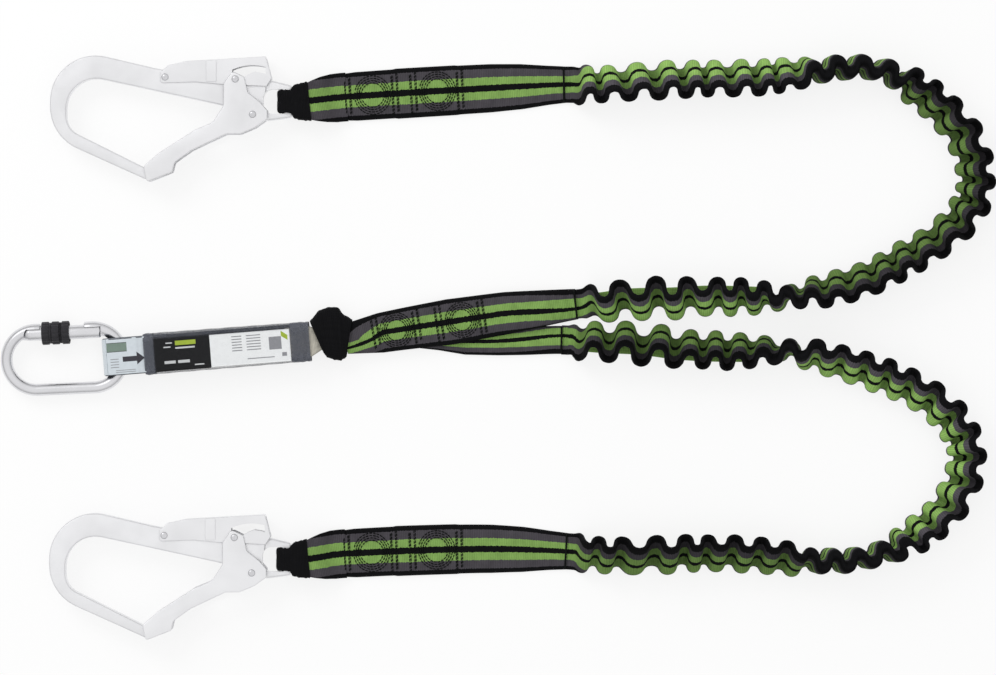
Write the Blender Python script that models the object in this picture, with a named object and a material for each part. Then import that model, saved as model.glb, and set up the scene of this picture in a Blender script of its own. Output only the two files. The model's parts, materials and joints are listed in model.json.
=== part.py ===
# Twin-leg elastic shock absorbing lanyard, lying flat with its lowest points at z = 0.
# A screw-sleeve karabiner, a tear-webbing absorber, two gathered elastic legs and two scaffold hooks.
# Metres, +X to the hooks' webbing side, +Y up the page, +Z off the floor.

import math

import bmesh
import bpy
from mathutils import Matrix, Vector

# Gaps
SEAT_GAP = 0.0003  # between two pieces that touch
PIN_GAP = 0.0003  # round a rivet or pin in its hole
SLIDE_GAP = 0.0004  # between plates that slide past each other

# Karabiner, on its own long axis with +Y to the gate
WIRE_DIAMETER = 0.0102
KARABINER_LENGTH = 0.1096
KARABINER_WIDTH = 0.0614
GATE_DIAMETER = 0.012
GATE_INSET = 0.0034  # from the bar's centre line to the gate's, towards the inside
GATE_HINGE_PAST = 0.0044  # each past, or short of, the end of the bar's straight side
NOSE_PIN_PAST = 0.0024
GATE_END_PAST = 0.0074
NOSE_LIP_SHORT = 0.0067
HINGE_LIP_SHORT = 0.0048
SLEEVE_SHORT = 0.0058  # its hinge end, unscrewed
HINGE_SHOULDER_GAP = 0.001
LUG_THICKNESS = 0.0032
GATE_RIVET_DIAMETER = 0.004
NOSE_PIN_DIAMETER = 0.003
PLUNGER_DIAMETER = 0.0042
PLUNGER_LENGTH = 0.004
GATE_SPRING_WIRE = 0.0006
GATE_SPRING_TURNS = 5
GATE_SPRING_LENGTH = 0.009
SLEEVE_DIAMETER = 0.0196
SLEEVE_LENGTH = 0.0234
SLEEVE_GROOVE_DEPTH = 0.0009
SLEEVE_GROOVE_WIDTH = 0.0022
NUT_LENGTH = 0.0065
NUT_WALL = 0.0016

# Absorber, with +X to the legs
PACK_LENGTH = 0.141
PACK_WIDTH = 0.036
COVER_WALL = 0.0008
TAPE_THICKNESS = 0.0017
FOLD_THICKNESS = 0.0022
FOLD_GAP = 0.0004
FOLD_LAYERS = 6
FOLD_ROOM = 0.00071  # beside the folds, at the cover's narrow end
FOLD_MARGIN = 0.004  # from each end of the cover to the folds
TAIL_LENGTH = 0.02  # of a loop's tails inside the cover
CARD_THICKNESS = 0.0004
COVER_CORNER = 0.0025
FRONT_CARD_LENGTH = 0.0476
REAR_CARD_LENGTH = 0.068
FRONT_CARD_INSET = 0.0085
FRONT_LOOP_ROOM = 0.00093  # beside the loop's tails, in the cover
FRONT_LOOP_REACH = 0.0357  # past the cover, clear of the gate as it opens
FRONT_LABEL_MARGIN = 0.00075  # from the label's edge to the loop's
KARABINER_SEAT = 0.0186  # from the cover's end to the bar's centre line
REAR_LOOP_WIDTH = 0.026  # at the cover's end
REAR_LOOP_GATHERED = 0.014  # at its bend
REAR_LOOP_REACH = 0.025

COVER_STATIONS = [(-1.0, 0.985), (-0.93, 1.0), (0.0, 0.985), (0.93, 0.96), (1.0, 0.945)]  # half length, width
FRONT_LOOP_WIDTH = PACK_WIDTH * COVER_STATIONS[0][1] - 2 * (COVER_WALL + FRONT_LOOP_ROOM)
FRONT_LABEL_WIDTH = FRONT_LOOP_WIDTH - 2 * FRONT_LABEL_MARGIN
FOLD_WIDTH = PACK_WIDTH * COVER_STATIONS[-1][1] - 2 * (COVER_WALL + FOLD_ROOM)

# Fork: the bight through the rear loop, and the sleeve over both
BIGHT_DIAMETER = 0.0068
BIGHT_HEIGHT = 0.0088
LINK_SLEEVE_WALL = 0.0013
FORK_RISE = 0.0022  # of the fork's webbing, where it enters the sleeve,
FORK_RISE_RUN = 0.0243  # and the length that it starts rising from
FORK_CROSSING_RUN = 0.026  # in which leg A's webbing climbs onto leg B's

# Legs
SECTION_THICKNESS = 0.0052
SECTION_EDGE = 0.0024
ELASTIC_WIDTH = 0.031
ELASTIC_SEAM_WIDTH = 0.025
ELASTIC_THICKNESS = 0.0036
ELASTIC_WAVES = 35
ELASTIC_AMPLITUDE = 0.0055
ELASTIC_LEAN = math.radians(43)  # how far the gathered webbing leans off the floor
ELASTIC_RINGS = 192
HOOK_LOOP_THICKNESS = 0.0026
HOOK_SLEEVE_WALL = 0.001
HOOK_SLEEVE_WIDTH = 0.0196  # in the hook's eye
HOOK_LOOP_FLARE = 0.0275  # the loop's width where the sleeve ends,
HOOK_LOOP_OPEN = 0.035  # where it lies flat again,
HOOK_LOOP_SEAM = 0.0365  # and at the sewn section

# Scaffold hook, from its eye bar's centre line, with +Y to the lever
HOOK_THICKNESS = 0.012
EYE_THICKNESS = 0.0082
EYE_BAR = 0.008
LEVER_PLATE = 0.0015
LEVER_SLIDE = 0.0005
GATE_PLATE = 0.0018
GATE_WEB = 0.0019
RIVET_HEAD_DIAMETER = 0.0074
RIVET_HEAD_HEIGHT = 0.0012
HOOK_GATE_RIVET_DIAMETER = 0.005
LATCH_PIN_DIAMETER = 0.0037
LEVER_RIVET_DIAMETER = 0.0038
HOOK_GATE_AXIS = (-0.0304, -0.0110)
LATCH_PIN_AT = (-0.0451, 0.0190)
LEVER_AXIS = (-0.1048, 0.0207)
HOOK_GATE_OPENS = math.radians(30)
LEVER_SWINGS = math.radians(4.25)
LATCH_GAP = 0.0006
SHOULDER_RADIUS = 0.0302  # round the gate's axis
TONGUE_RADIUS = 0.0362
WINDOW_RADIUS = 0.0418
LEVER_SPRING_WIRE = 0.0009
LEVER_SPRING_DIAMETER = 0.0066
LEVER_SPRING_TURNS = 5
LEVER_SPRING_X = -0.0765
TORSION_WIRE = 0.0009
TORSION_TURNS = 2.5
TORSION_PITCH = 0.0014
TORSION_LEG = 0.013

# Outlines in the hook's frame: x, y, corner radius
HOOK_BODY_LOWER = [
    (-0.2028, 0.0495, 0.039),
    (-0.2028, -0.0294, 0.039),
    (-0.1203, -0.0666, 0.003),
    (-0.1071, -0.0608, 0.002),
    (-0.1115, -0.0507, 0.002),
    (-0.1228, -0.0556, 0.002),
    (-0.1887, -0.0227, 0.017),
    (-0.1887, 0.0256, 0.0255),
    (-0.0536, -0.0036, 0.003),
    (-0.0417, -0.0179, 0.006),
    (-0.0208, -0.0183, 0.005),
]
HOOK_BODY_UPPER = [(-0.0481, 0.0173, 0.0010), (-0.1139, 0.0286, 0.02)]
EYE_OUTLINE = [
    (-0.0300, 0.0165, 0.002),
    (-0.0300, -0.0160, 0.002),
    (-0.0162, -0.0160, 0.003),
    (EYE_BAR / 2, -0.0134, 0.0035),
    (EYE_BAR / 2, 0.0138, 0.0035),
    (-0.0145, 0.0183, 0.003),
]
EYE_TOP = 0.0106
EYE_LOW = -0.0102
EYE_LEFT = -0.0217
HOOK_GATE_OUTLINE = [
    (-0.0552, 0.0149, 0.0017),
    (-0.0476, 0.0259, 0.0038),
    (-0.0374, 0.0208, 0.0025),
    (-0.0344, 0.0076, 0.0051),
    (-0.0238, -0.0008, 0.0034),
    (-0.0178, -0.0076, 0.0017),
    (-0.0178, -0.0149, 0.0025),
    (-0.0281, -0.0221, 0.0034),
    (-0.0408, -0.0275, 0.0068),
    (-0.0525, -0.0275, 0.0068),
    (-0.0820, -0.0414, 0.0102),
    (-0.0967, -0.0518, 0.0051),
    (-0.0986, -0.0599, 0.0025),
    (-0.1203, -0.0684, 0.0021),
    (-0.1232, -0.0552, 0.0025),
    (-0.1096, -0.0434, 0.0034),
    (-0.0790, -0.0238, 0.0068),
    (-0.0643, -0.0178, 0.0102),
    (-0.0553, -0.0038, 0.0051),
]
WEB_RUN = [(-0.0817, -0.0255), (-0.1096, -0.0434), (-0.1170, -0.0498)]  # the gate's web lies along this edge
LEVER_OUTLINE = [
    (-0.1090, 0.0157, 0.0025),
    (-0.1090, 0.0246, 0.0025),
    (-0.1024, 0.0308, 0.0017),
    (-0.0864, 0.0344, 0.0085),
    (-0.0688, 0.0354, 0.0068),
    (-0.0193, 0.0383, 0.0008),
    (-0.0144, 0.0196, 0.0017),
    (-0.0187, 0.0129, 0.0017),
    (-0.0569, 0.0146, 0.0034),
    (-0.0790, 0.0166, 0.0068),
]
LEVER_WEB = [(-0.0995, 0.0315), (-0.0864, 0.0344), (-0.0688, 0.0354), (-0.0193, 0.0383)]
LEVER_WEB_THICKNESS = 0.0018
LEVER_RIB = (-0.0680, -0.0612)
LEVER_RIB_HEIGHT = 0.0003

# Widths of the sewn webbing: share of its length, width
FORK_A_WIDTHS = [(0.0, 0.0260), (0.30, 0.036), (0.55, 0.039), (0.85, 0.034), (1.0, 0.0255)]
FORK_B_WIDTHS = [(0.0, 0.0240), (0.5, 0.024), (1.0, 0.0235)]
HOOK_SECTION_WIDTHS = [(0.0, 0.037), (0.12, 0.040), (0.45, 0.0425), (0.75, 0.039), (1.0, 0.0290)]

# Routes on the floor, in the lanyard's frame
HOOK_A_AT = (-0.1764, 0.2070)
HOOK_B_AT = (-0.1772, -0.1818)
# The link's wear sleeve, each station between two points on the plan: upper edge, lower edge, height.
LINK_SLEEVE_STATIONS = [
    ((-0.1587, 0.0208), (-0.1467, -0.0065), 0.0227),
    ((-0.1517, 0.0293), (-0.1441, -0.0100), 0.0215),
    ((-0.1449, 0.0323), (-0.1390, -0.0121), 0.0200),
    ((-0.1357, 0.0328), (-0.1330, -0.0131), 0.0186),
    ((-0.1300, 0.0268), (-0.1300, -0.0117), 0.0170),
    ((-0.1226, 0.0226), (-0.1278, -0.0103), 0.0154),
]
ABSORBER_END_AT = (-0.158417, 0.003531)  # the middle of the cover's end at the legs
ABSORBER_HEADING = math.radians(4.5)
KARABINER_HEADING = math.radians(2.5)
SECTION_A = [
    (-0.1288, 0.2117), (-0.0820, 0.2148), (-0.0225, 0.2183), (0.0200, 0.2206), (0.0591, 0.2223),
]
SECTION_B = [
    (-0.1296, -0.1774), (-0.0820, -0.1751), (-0.0225, -0.1734), (0.0200, -0.1738), (0.0608, -0.1755),
]
FORK_A = [
    (0.0684, 0.0353), (0.0370, 0.0314), (0.0030, 0.0268), (-0.0378, 0.0204), (-0.0820, 0.0136),
    (-0.1285, 0.0054),
]
FORK_B = [
    (0.0565, 0.0047), (0.0200, 0.0038), (-0.0225, 0.0034), (-0.0565, 0.0034), (-0.0905, 0.0038),
    (-0.1285, 0.0049),
]
ELASTIC_A = [
    (0.0591, 0.2223), (0.0880, 0.2214), (0.1220, 0.2240), (0.1560, 0.2257), (0.1900, 0.2265),
    (0.2240, 0.2274), (0.2580, 0.2308), (0.2920, 0.2359), (0.3175, 0.2359), (0.3430, 0.2274),
    (0.3642, 0.2129), (0.3855, 0.1934), (0.4008, 0.1704), (0.4067, 0.1449), (0.4042, 0.1237),
    (0.3897, 0.1024), (0.3685, 0.0854), (0.3430, 0.0710), (0.3175, 0.0574), (0.2835, 0.0472),
    (0.2495, 0.0412), (0.2155, 0.0421), (0.1815, 0.0429), (0.1475, 0.0412), (0.1135, 0.0404),
    (0.0880, 0.0370), (0.0684, 0.0353),
]
ELASTIC_B = [
    (0.0608, -0.1755), (0.0965, -0.1781), (0.1305, -0.1781), (0.1645, -0.1764), (0.1985, -0.1764),
    (0.2325, -0.1789), (0.2665, -0.1823), (0.3005, -0.1823), (0.3345, -0.1738), (0.3600, -0.1585),
    (0.3812, -0.1398), (0.3957, -0.1143), (0.3982, -0.0846), (0.3812, -0.0565), (0.3557, -0.0378),
    (0.3260, -0.0251), (0.2920, -0.0140), (0.2580, -0.0055), (0.2240, -0.0055), (0.1900, -0.0055),
    (0.1560, -0.0038), (0.1220, 0.0004), (0.0880, 0.0021), (0.0565, 0.0047),
]

# Colour, metallic, roughness
FINISHES = {
    "bright_steel": ((0.74, 0.75, 0.77), 1.0, 0.22),
    "zinc_plate": ((0.80, 0.80, 0.83), 1.0, 0.32),
    "spring_steel": ((0.42, 0.43, 0.45), 1.0, 0.30),
    "black_plastic": ((0.015, 0.015, 0.016), 0.0, 0.45),
    "black_webbing": ((0.010, 0.010, 0.012), 0.0, 0.85),
    "grey_webbing": ((0.075, 0.075, 0.080), 0.0, 0.85),
    "cream_webbing": ((0.62, 0.58, 0.49), 0.0, 0.85),
    "green_webbing": ((0.14, 0.36, 0.045), 0.0, 0.80),
    "clear_film": ((0.80, 0.83, 0.85), 0.0, 0.12),
    "black_card": ((0.008, 0.008, 0.008), 0.0, 0.35),
    "white_card": ((0.86, 0.86, 0.86), 0.0, 0.40),
    "pale_label": ((0.66, 0.70, 0.73), 0.0, 0.35),
}


def clear_scene():
    for obj in list(bpy.data.objects):
        bpy.data.objects.remove(obj, do_unlink=True)


def finish(node, kind):
    colour, metallic, roughness = FINISHES[kind]
    material = bpy.data.materials.new(node + "_finish")
    material.use_nodes = True
    shader = material.node_tree.nodes["Principled BSDF"]
    shader.inputs["Base Color"].default_value = (*colour, 1.0)
    shader.inputs["Metallic"].default_value = metallic
    shader.inputs["Roughness"].default_value = roughness
    material.diffuse_color = (*colour, 1.0)
    return material


# Frames: each moving body has an empty on its joint's axis. A piece is drawn in its assembly's own
# coordinates and hung on one of that assembly's empties.


def empty(name, parent, at, turn=(0.0, 0.0, 0.0)):
    obj = bpy.data.objects.new(name, None)
    obj.empty_display_size = 0.01
    obj.location = at
    obj.rotation_euler = turn
    obj.parent = parent
    bpy.context.scene.collection.objects.link(obj)
    return obj


def to_mesh(name, shape):
    points, faces = shape
    mesh = bpy.data.meshes.new(name)
    mesh.from_pydata([tuple(p) for p in points], [], faces)
    work = bmesh.new()
    work.from_mesh(mesh)
    bmesh.ops.recalc_face_normals(work, faces=work.faces)
    work.to_mesh(mesh)
    work.free()
    return mesh


def hang(name, shape, parent, pivot):
    """A new object of this shape on the parent empty, which stands at pivot in the shape's coordinates."""
    mesh = to_mesh(name, shape)
    mesh.transform(Matrix.Translation(-Vector(pivot)))
    obj = bpy.data.objects.new(name, mesh)
    obj.parent = parent
    bpy.context.scene.collection.objects.link(obj)
    return obj


def piece(name, shape, kind, parent, pivot=(0, 0, 0), smooth=None):
    obj = hang(name, shape, parent, pivot)
    obj.data.materials.append(finish(name, kind))
    if smooth:
        obj.data.shade_smooth()
        obj.data.set_sharp_from_angle(angle=smooth)
    return obj


def helper(name, shape, parent, pivot=(0, 0, 0)):
    obj = hang(name, shape, parent, pivot)
    obj.hide_render = True
    obj.display_type = "WIRE"
    return obj


def boolean(obj, other, operation):
    modifier = obj.modifiers.new(other.name, "BOOLEAN")
    modifier.operation = operation
    modifier.solver = "EXACT"
    modifier.object = other


def bevel(obj, width):
    modifier = obj.modifiers.new("edges", "BEVEL")
    modifier.width = width
    modifier.segments = 1
    modifier.limit_method = "ANGLE"
    modifier.angle_limit = math.radians(50)


# Outlines and solids: each returns (points, faces).


def rounded(corners, step=math.radians(20)):
    """The outline through these corners, each (x, y, radius), with arcs tangent to its sides."""
    outline = []
    for i, (x, y, radius) in enumerate(corners):
        here = Vector((x, y))
        back = (Vector(corners[i - 1][:2]) - here).normalized()
        ahead = (Vector(corners[(i + 1) % len(corners)][:2]) - here).normalized()
        half = math.acos(max(-1.0, min(1.0, back.dot(ahead)))) / 2
        if radius <= 0 or half > math.radians(89):
            outline.append(here)
            continue
        centre = here + (back + ahead).normalized() * radius / math.sin(half)
        start = here + back * radius / math.tan(half) - centre
        swept = math.pi - 2 * half
        if start.x * (here.y - centre.y) - start.y * (here.x - centre.x) < 0:
            swept = -swept
        count = max(2, math.ceil(abs(swept) / step))
        for k in range(count + 1):
            outline.append(centre + Matrix.Rotation(swept * k / count, 2) @ start)
    return outline


def arc(centre, radius, start, end, count):
    angles = [start + (end - start) * k / count for k in range(count + 1)]
    return [Vector((centre[0] + radius * math.cos(a), centre[1] + radius * math.sin(a))) for a in angles]


def slab(outline, low, high):
    n = len(outline)
    points = [(p[0], p[1], low) for p in outline] + [(p[0], p[1], high) for p in outline]
    sides = [(i, (i + 1) % n, n + (i + 1) % n, n + i) for i in range(n)]
    return points, [tuple(range(n))[::-1], tuple(range(n, 2 * n)), *sides]


def block(low, high):
    (x0, y0, z0), (x1, y1, z1) = low, high
    return slab([(x0, y0), (x1, y0), (x1, y1), (x0, y1)], z0, z1)


def loft(rings, hollow=None):
    """A solid through rings of equal length, or a tube with the hollow rings as its bore."""
    n = len(rings[0])

    def skin(first, count):
        return [
            (row + k, row + (k + 1) % n, row + n + (k + 1) % n, row + n + k)
            for row in range(first, first + (count - 1) * n, n)
            for k in range(n)
        ]

    points = [p for ring in rings for p in ring]
    faces = skin(0, len(rings))
    last = (len(rings) - 1) * n
    if hollow is None:
        return points, [*faces, tuple(range(n))[::-1], tuple(range(last, last + n))]
    bore = len(points)
    points += [p for ring in hollow for p in ring]
    faces += [face[::-1] for face in skin(bore, len(hollow))]
    for k in range(n):
        j = (k + 1) % n
        faces.append((bore + k, bore + j, j, k))
        faces.append((last + k, last + j, bore + last + j, bore + last + k))
    return points, faces


def lathe(profile, sides, ring=False):
    """A profile of (radius, height) turned about Z: from pole to pole, or a closed loop of its own."""
    points, faces = [], []
    rows = []
    for radius, height in profile:
        if radius <= 0:
            rows.append([len(points)] * sides)
            points.append((0.0, 0.0, height))
            continue
        rows.append([len(points) + k for k in range(sides)])
        for k in range(sides):
            a = 2 * math.pi * k / sides
            points.append((radius * math.cos(a), radius * math.sin(a), height))
    pairs = list(zip(rows, rows[1:] + rows[:1])) if ring else list(zip(rows, rows[1:]))
    for lower, upper in pairs:
        for k in range(sides):
            corners = [lower[k], lower[(k + 1) % sides], upper[(k + 1) % sides], upper[k]]
            face = tuple(dict.fromkeys(corners))
            if len(face) > 2:
                faces.append(face)
    return points, faces


def moved(shape, matrix):
    points, faces = shape
    return [tuple(matrix @ Vector(p)) for p in points], faces


def along_x(shape, x, y):
    """A turned shape laid with its axis along +X from (x, y, 0)."""
    return moved(shape, Matrix.Translation((x, y, 0)) @ Matrix.Rotation(math.pi / 2, 4, "Y"))


def tube(path, diameter, sides):
    """A round tube along a path of points, with flat ends and no twist."""
    rings = []
    side = None
    for i, point in enumerate(path):
        ahead = Vector(path[min(i + 1, len(path) - 1)]) - Vector(path[max(i - 1, 0)])
        ahead.normalize()
        if side is None:
            side = ahead.cross(Vector((0.3, 0.2, 1.0))).normalized()
        side = (side - ahead * side.dot(ahead)).normalized()
        up = ahead.cross(side)
        turns = [2 * math.pi * k / sides for k in range(sides)]
        rings.append([Vector(point) + (side * math.cos(a) + up * math.sin(a)) * diameter / 2 for a in turns])
    return loft(rings)


def coil(radius, pitch, turns, per_turn=8):
    count = int(turns * per_turn)
    points = []
    for k in range(count + 1):
        a = 2 * math.pi * k / per_turn
        points.append((radius * math.cos(a), radius * math.sin(a), pitch * k / per_turn))
    return points


def flat_section(width, thickness, chamfer=0.3):
    """Eight points round a flat tape with cut corners."""
    w, t = width / 2, thickness / 2
    c = t * 2 * chamfer
    upper = [(w, t - c), (w - c, t), (-w + c, t), (-w, t - c)]
    return [(w, -t + c), *upper, (-w, -t + c), (-w + c, -t), (w - c, -t)]


def thin_section(width, thickness):
    """Six points round a flat tape with pointed edges."""
    w, t = width / 2, thickness / 2
    return [(w, 0.0), (w - t, t), (t - w, t), (-w, 0.0), (t - w, -t), (w - t, -t)]


def crowned_section(width, thickness, edge):
    """Twelve points round sewn webbing: flat below, crowned on top, with thinner edges."""
    w, t, e = width / 2, thickness / 2, edge
    top = [(w, -t + e * 0.7), (w * 0.94, -t + e), (w * 0.62, t * 0.86), (w * 0.2, t), (-w * 0.2, t)]
    top += [(-w * 0.62, t * 0.86), (-w * 0.94, -t + e), (-w, -t + e * 0.7)]
    return [*top, (-w, -t + e * 0.3), (-w * 0.94, -t), (w * 0.94, -t), (w, -t + e * 0.3)]


def rounded_section(width, height, radius):
    w, h = width / 2, height / 2
    return rounded([(w, -h, radius), (w, h, radius), (-w, h, radius), (-w, -h, radius)], math.radians(45))


def ring_at(centre, side, up, section):
    return [centre + side * u + up * v for u, v in section]


# Curves on the floor


def smooth_curve(points, count, before=None, after=None):
    """
    Points and headings at equal steps along a smooth curve through the given points, and its length.
    Before and after are the next points of the pieces that it meets, so that both share a heading there.
    """
    knots = [Vector(p) for p in points]
    first = knots[0] * 2 - knots[1] if before is None else Vector(before)
    last = knots[-1] * 2 - knots[-2] if after is None else Vector(after)
    knots = [first, *knots, last]
    fine = []
    for a, b, c, d in zip(knots, knots[1:], knots[2:], knots[3:]):
        for k in range(16):
            t = k / 16
            square = (2 * a - 5 * b + 4 * c - d) * t * t
            cube = (3 * b - a - 3 * c + d) * t**3
            fine.append(0.5 * ((2 * b) + (c - a) * t + square + cube))
    fine.append(knots[-2])
    lengths = [0.0]
    for a, b in zip(fine, fine[1:]):
        lengths.append(lengths[-1] + (b - a).length)
    curve, j = [], 0
    for k in range(count + 1):
        want = lengths[-1] * k / count
        while j < len(fine) - 2 and lengths[j + 1] < want:
            j += 1
        share = (want - lengths[j]) / max(lengths[j + 1] - lengths[j], 1e-9)
        curve.append(fine[j].lerp(fine[j + 1], min(1.0, share)))
    headings = [(b - a).normalized() for a, b in zip(curve, curve[2:])]
    headings = [(knots[2] - first).normalized(), *headings, (last - knots[-3]).normalized()]
    return curve, headings, lengths[-1]


def ease(t):
    t = max(0.0, min(1.0, t))
    return t * t * (3 - 2 * t)


def between(t, stops):
    """The value at t on a line through (t, value) stops."""
    for (t0, v0), (t1, v1) in zip(stops, stops[1:]):
        if t <= t1:
            return v0 + (v1 - v0) * max(0.0, (t - t0)) / (t1 - t0)
    return stops[-1][1]


# Karabiner

WIRE = WIRE_DIAMETER / 2
BEND = KARABINER_WIDTH / 2 - WIRE  # centre-line radius of its two round ends
STRAIGHT = KARABINER_LENGTH / 2 - KARABINER_WIDTH / 2  # half the length of its straight sides
GATE_Y = BEND - GATE_INSET
GATE = GATE_DIAMETER / 2
SWING_X = STRAIGHT + BEND
GATE_HINGE_X = -STRAIGHT - GATE_HINGE_PAST
NOSE_PIN_X = STRAIGHT + NOSE_PIN_PAST
GATE_END_X = STRAIGHT + GATE_END_PAST
NOSE_LIP_X = STRAIGHT - NOSE_LIP_SHORT
HINGE_LIP_X = HINGE_LIP_SHORT - STRAIGHT
SLEEVE_X = SLEEVE_SHORT - STRAIGHT
LIP_REACH = GATE_INSET + WIRE  # from the gate's centre line to the outside of the lips
NUT_BORE = GATE + SEAT_GAP
NUT_OUTER = NUT_BORE + NUT_WALL
SKIRT_BORE = LIP_REACH + SLIDE_GAP
FORK_SLOT = LUG_THICKNESS + 2 * SLIDE_GAP
LUG_RADIUS = GATE - SLIDE_GAP


def karabiner_body(axis, pivot):
    steps = 14
    path = [(NOSE_LIP_X, BEND), (STRAIGHT, BEND)]
    for k in range(1, steps):
        a = math.pi / 2 - math.pi * k / steps
        path.append((STRAIGHT + BEND * math.cos(a), BEND * math.sin(a)))
    path += [(STRAIGHT, -BEND), (-STRAIGHT, -BEND)]
    for k in range(1, steps):
        a = -math.pi / 2 - math.pi * k / steps
        path.append((-STRAIGHT + BEND * math.cos(a), BEND * math.sin(a)))
    path += [(-STRAIGHT, BEND), (HINGE_LIP_X, BEND)]
    bar = tube([(x, y, 0.0) for x, y in path], WIRE_DIAMETER, 12)
    body = piece("karabiner_body", bar, "bright_steel", axis, pivot, math.radians(40))

    shoulder_x = GATE_HINGE_X - GATE - HINGE_SHOULDER_GAP
    space = GATE + SLIDE_GAP
    # The gate's round end turns in a round hollow, so that the bar's outer side runs on past it as a lip.
    hollow = GATE + HINGE_SHOULDER_GAP
    round_end = [(min(space, hollow * math.sin(a)), hollow * (1 - math.cos(a))) for a in (0.0, 0.3, 0.6, 0.9, 1.2)]
    for name, x0, x1, end in (
        ("nose_room", NOSE_LIP_X - WIRE, GATE_END_X + HINGE_SHOULDER_GAP, [(0, 0), (space, 0)]),
        ("hinge_room", shoulder_x, HINGE_LIP_X + WIRE, round_end),
    ):
        room = along_x(lathe([*end, (space, x1 - x0), (0, x1 - x0)], 20), x0, GATE_Y)
        boolean(body, helper("karabiner_" + name, room, axis, pivot), "DIFFERENCE")

    half = LUG_THICKNESS / 2
    reach = math.sqrt(BEND**2 - (GATE_END_X - STRAIGHT) ** 2)
    tongue = [
        (GATE_END_X + WIRE, reach),
        (GATE_END_X + WIRE, GATE_Y - GATE * 0.75),
        (NOSE_PIN_X + NOSE_PIN_DIAMETER / 2 + PIN_GAP * 2, GATE_Y - GATE * 0.75),
    ]
    tongue += arc((NOSE_PIN_X, GATE_Y), NOSE_PIN_DIAMETER / 2 + PIN_GAP * 2, 0, math.pi, 8)
    tongue += [
        (NOSE_PIN_X - NOSE_PIN_DIAMETER / 2 - PIN_GAP * 2, GATE_Y - GATE * 0.6),
        (NOSE_PIN_X - GATE, GATE_Y - GATE * 0.45),
        (NOSE_PIN_X - GATE, BEND + WIRE * 0.3),
        (GATE_END_X, BEND + WIRE * 0.3),
    ]
    boolean(body, helper("karabiner_tongue", slab(tongue, -half, half), axis, pivot), "UNION")

    eye = arc((GATE_HINGE_X, GATE_Y), LUG_RADIUS, -math.pi / 2, math.pi / 2, 10)
    root_x = shoulder_x - WIRE * 0.6
    root_y = math.sqrt(BEND**2 - (root_x + STRAIGHT) ** 2)
    lug = [*eye, (shoulder_x, GATE_Y + LUG_RADIUS * 0.95), (root_x, root_y + WIRE * 0.6)]
    lug += [(root_x, root_y - WIRE * 0.6), (shoulder_x, GATE_Y - LUG_RADIUS * 0.85)]
    boolean(body, helper("karabiner_lug", slab(lug, -half, half), axis, pivot), "UNION")
    hole = lathe(rod_profile(GATE_RIVET_DIAMETER / 2 + PIN_GAP, GATE_DIAMETER), 14)
    hole = moved(hole, Matrix.Translation((GATE_HINGE_X, GATE_Y, 0)))
    boolean(body, helper("karabiner_lug_hole", hole, axis, pivot), "DIFFERENCE")
    return body


def rod_profile(radius, length):
    return [(0, -length / 2), (radius, -length / 2), (radius, length / 2), (0, length / 2)]


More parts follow.
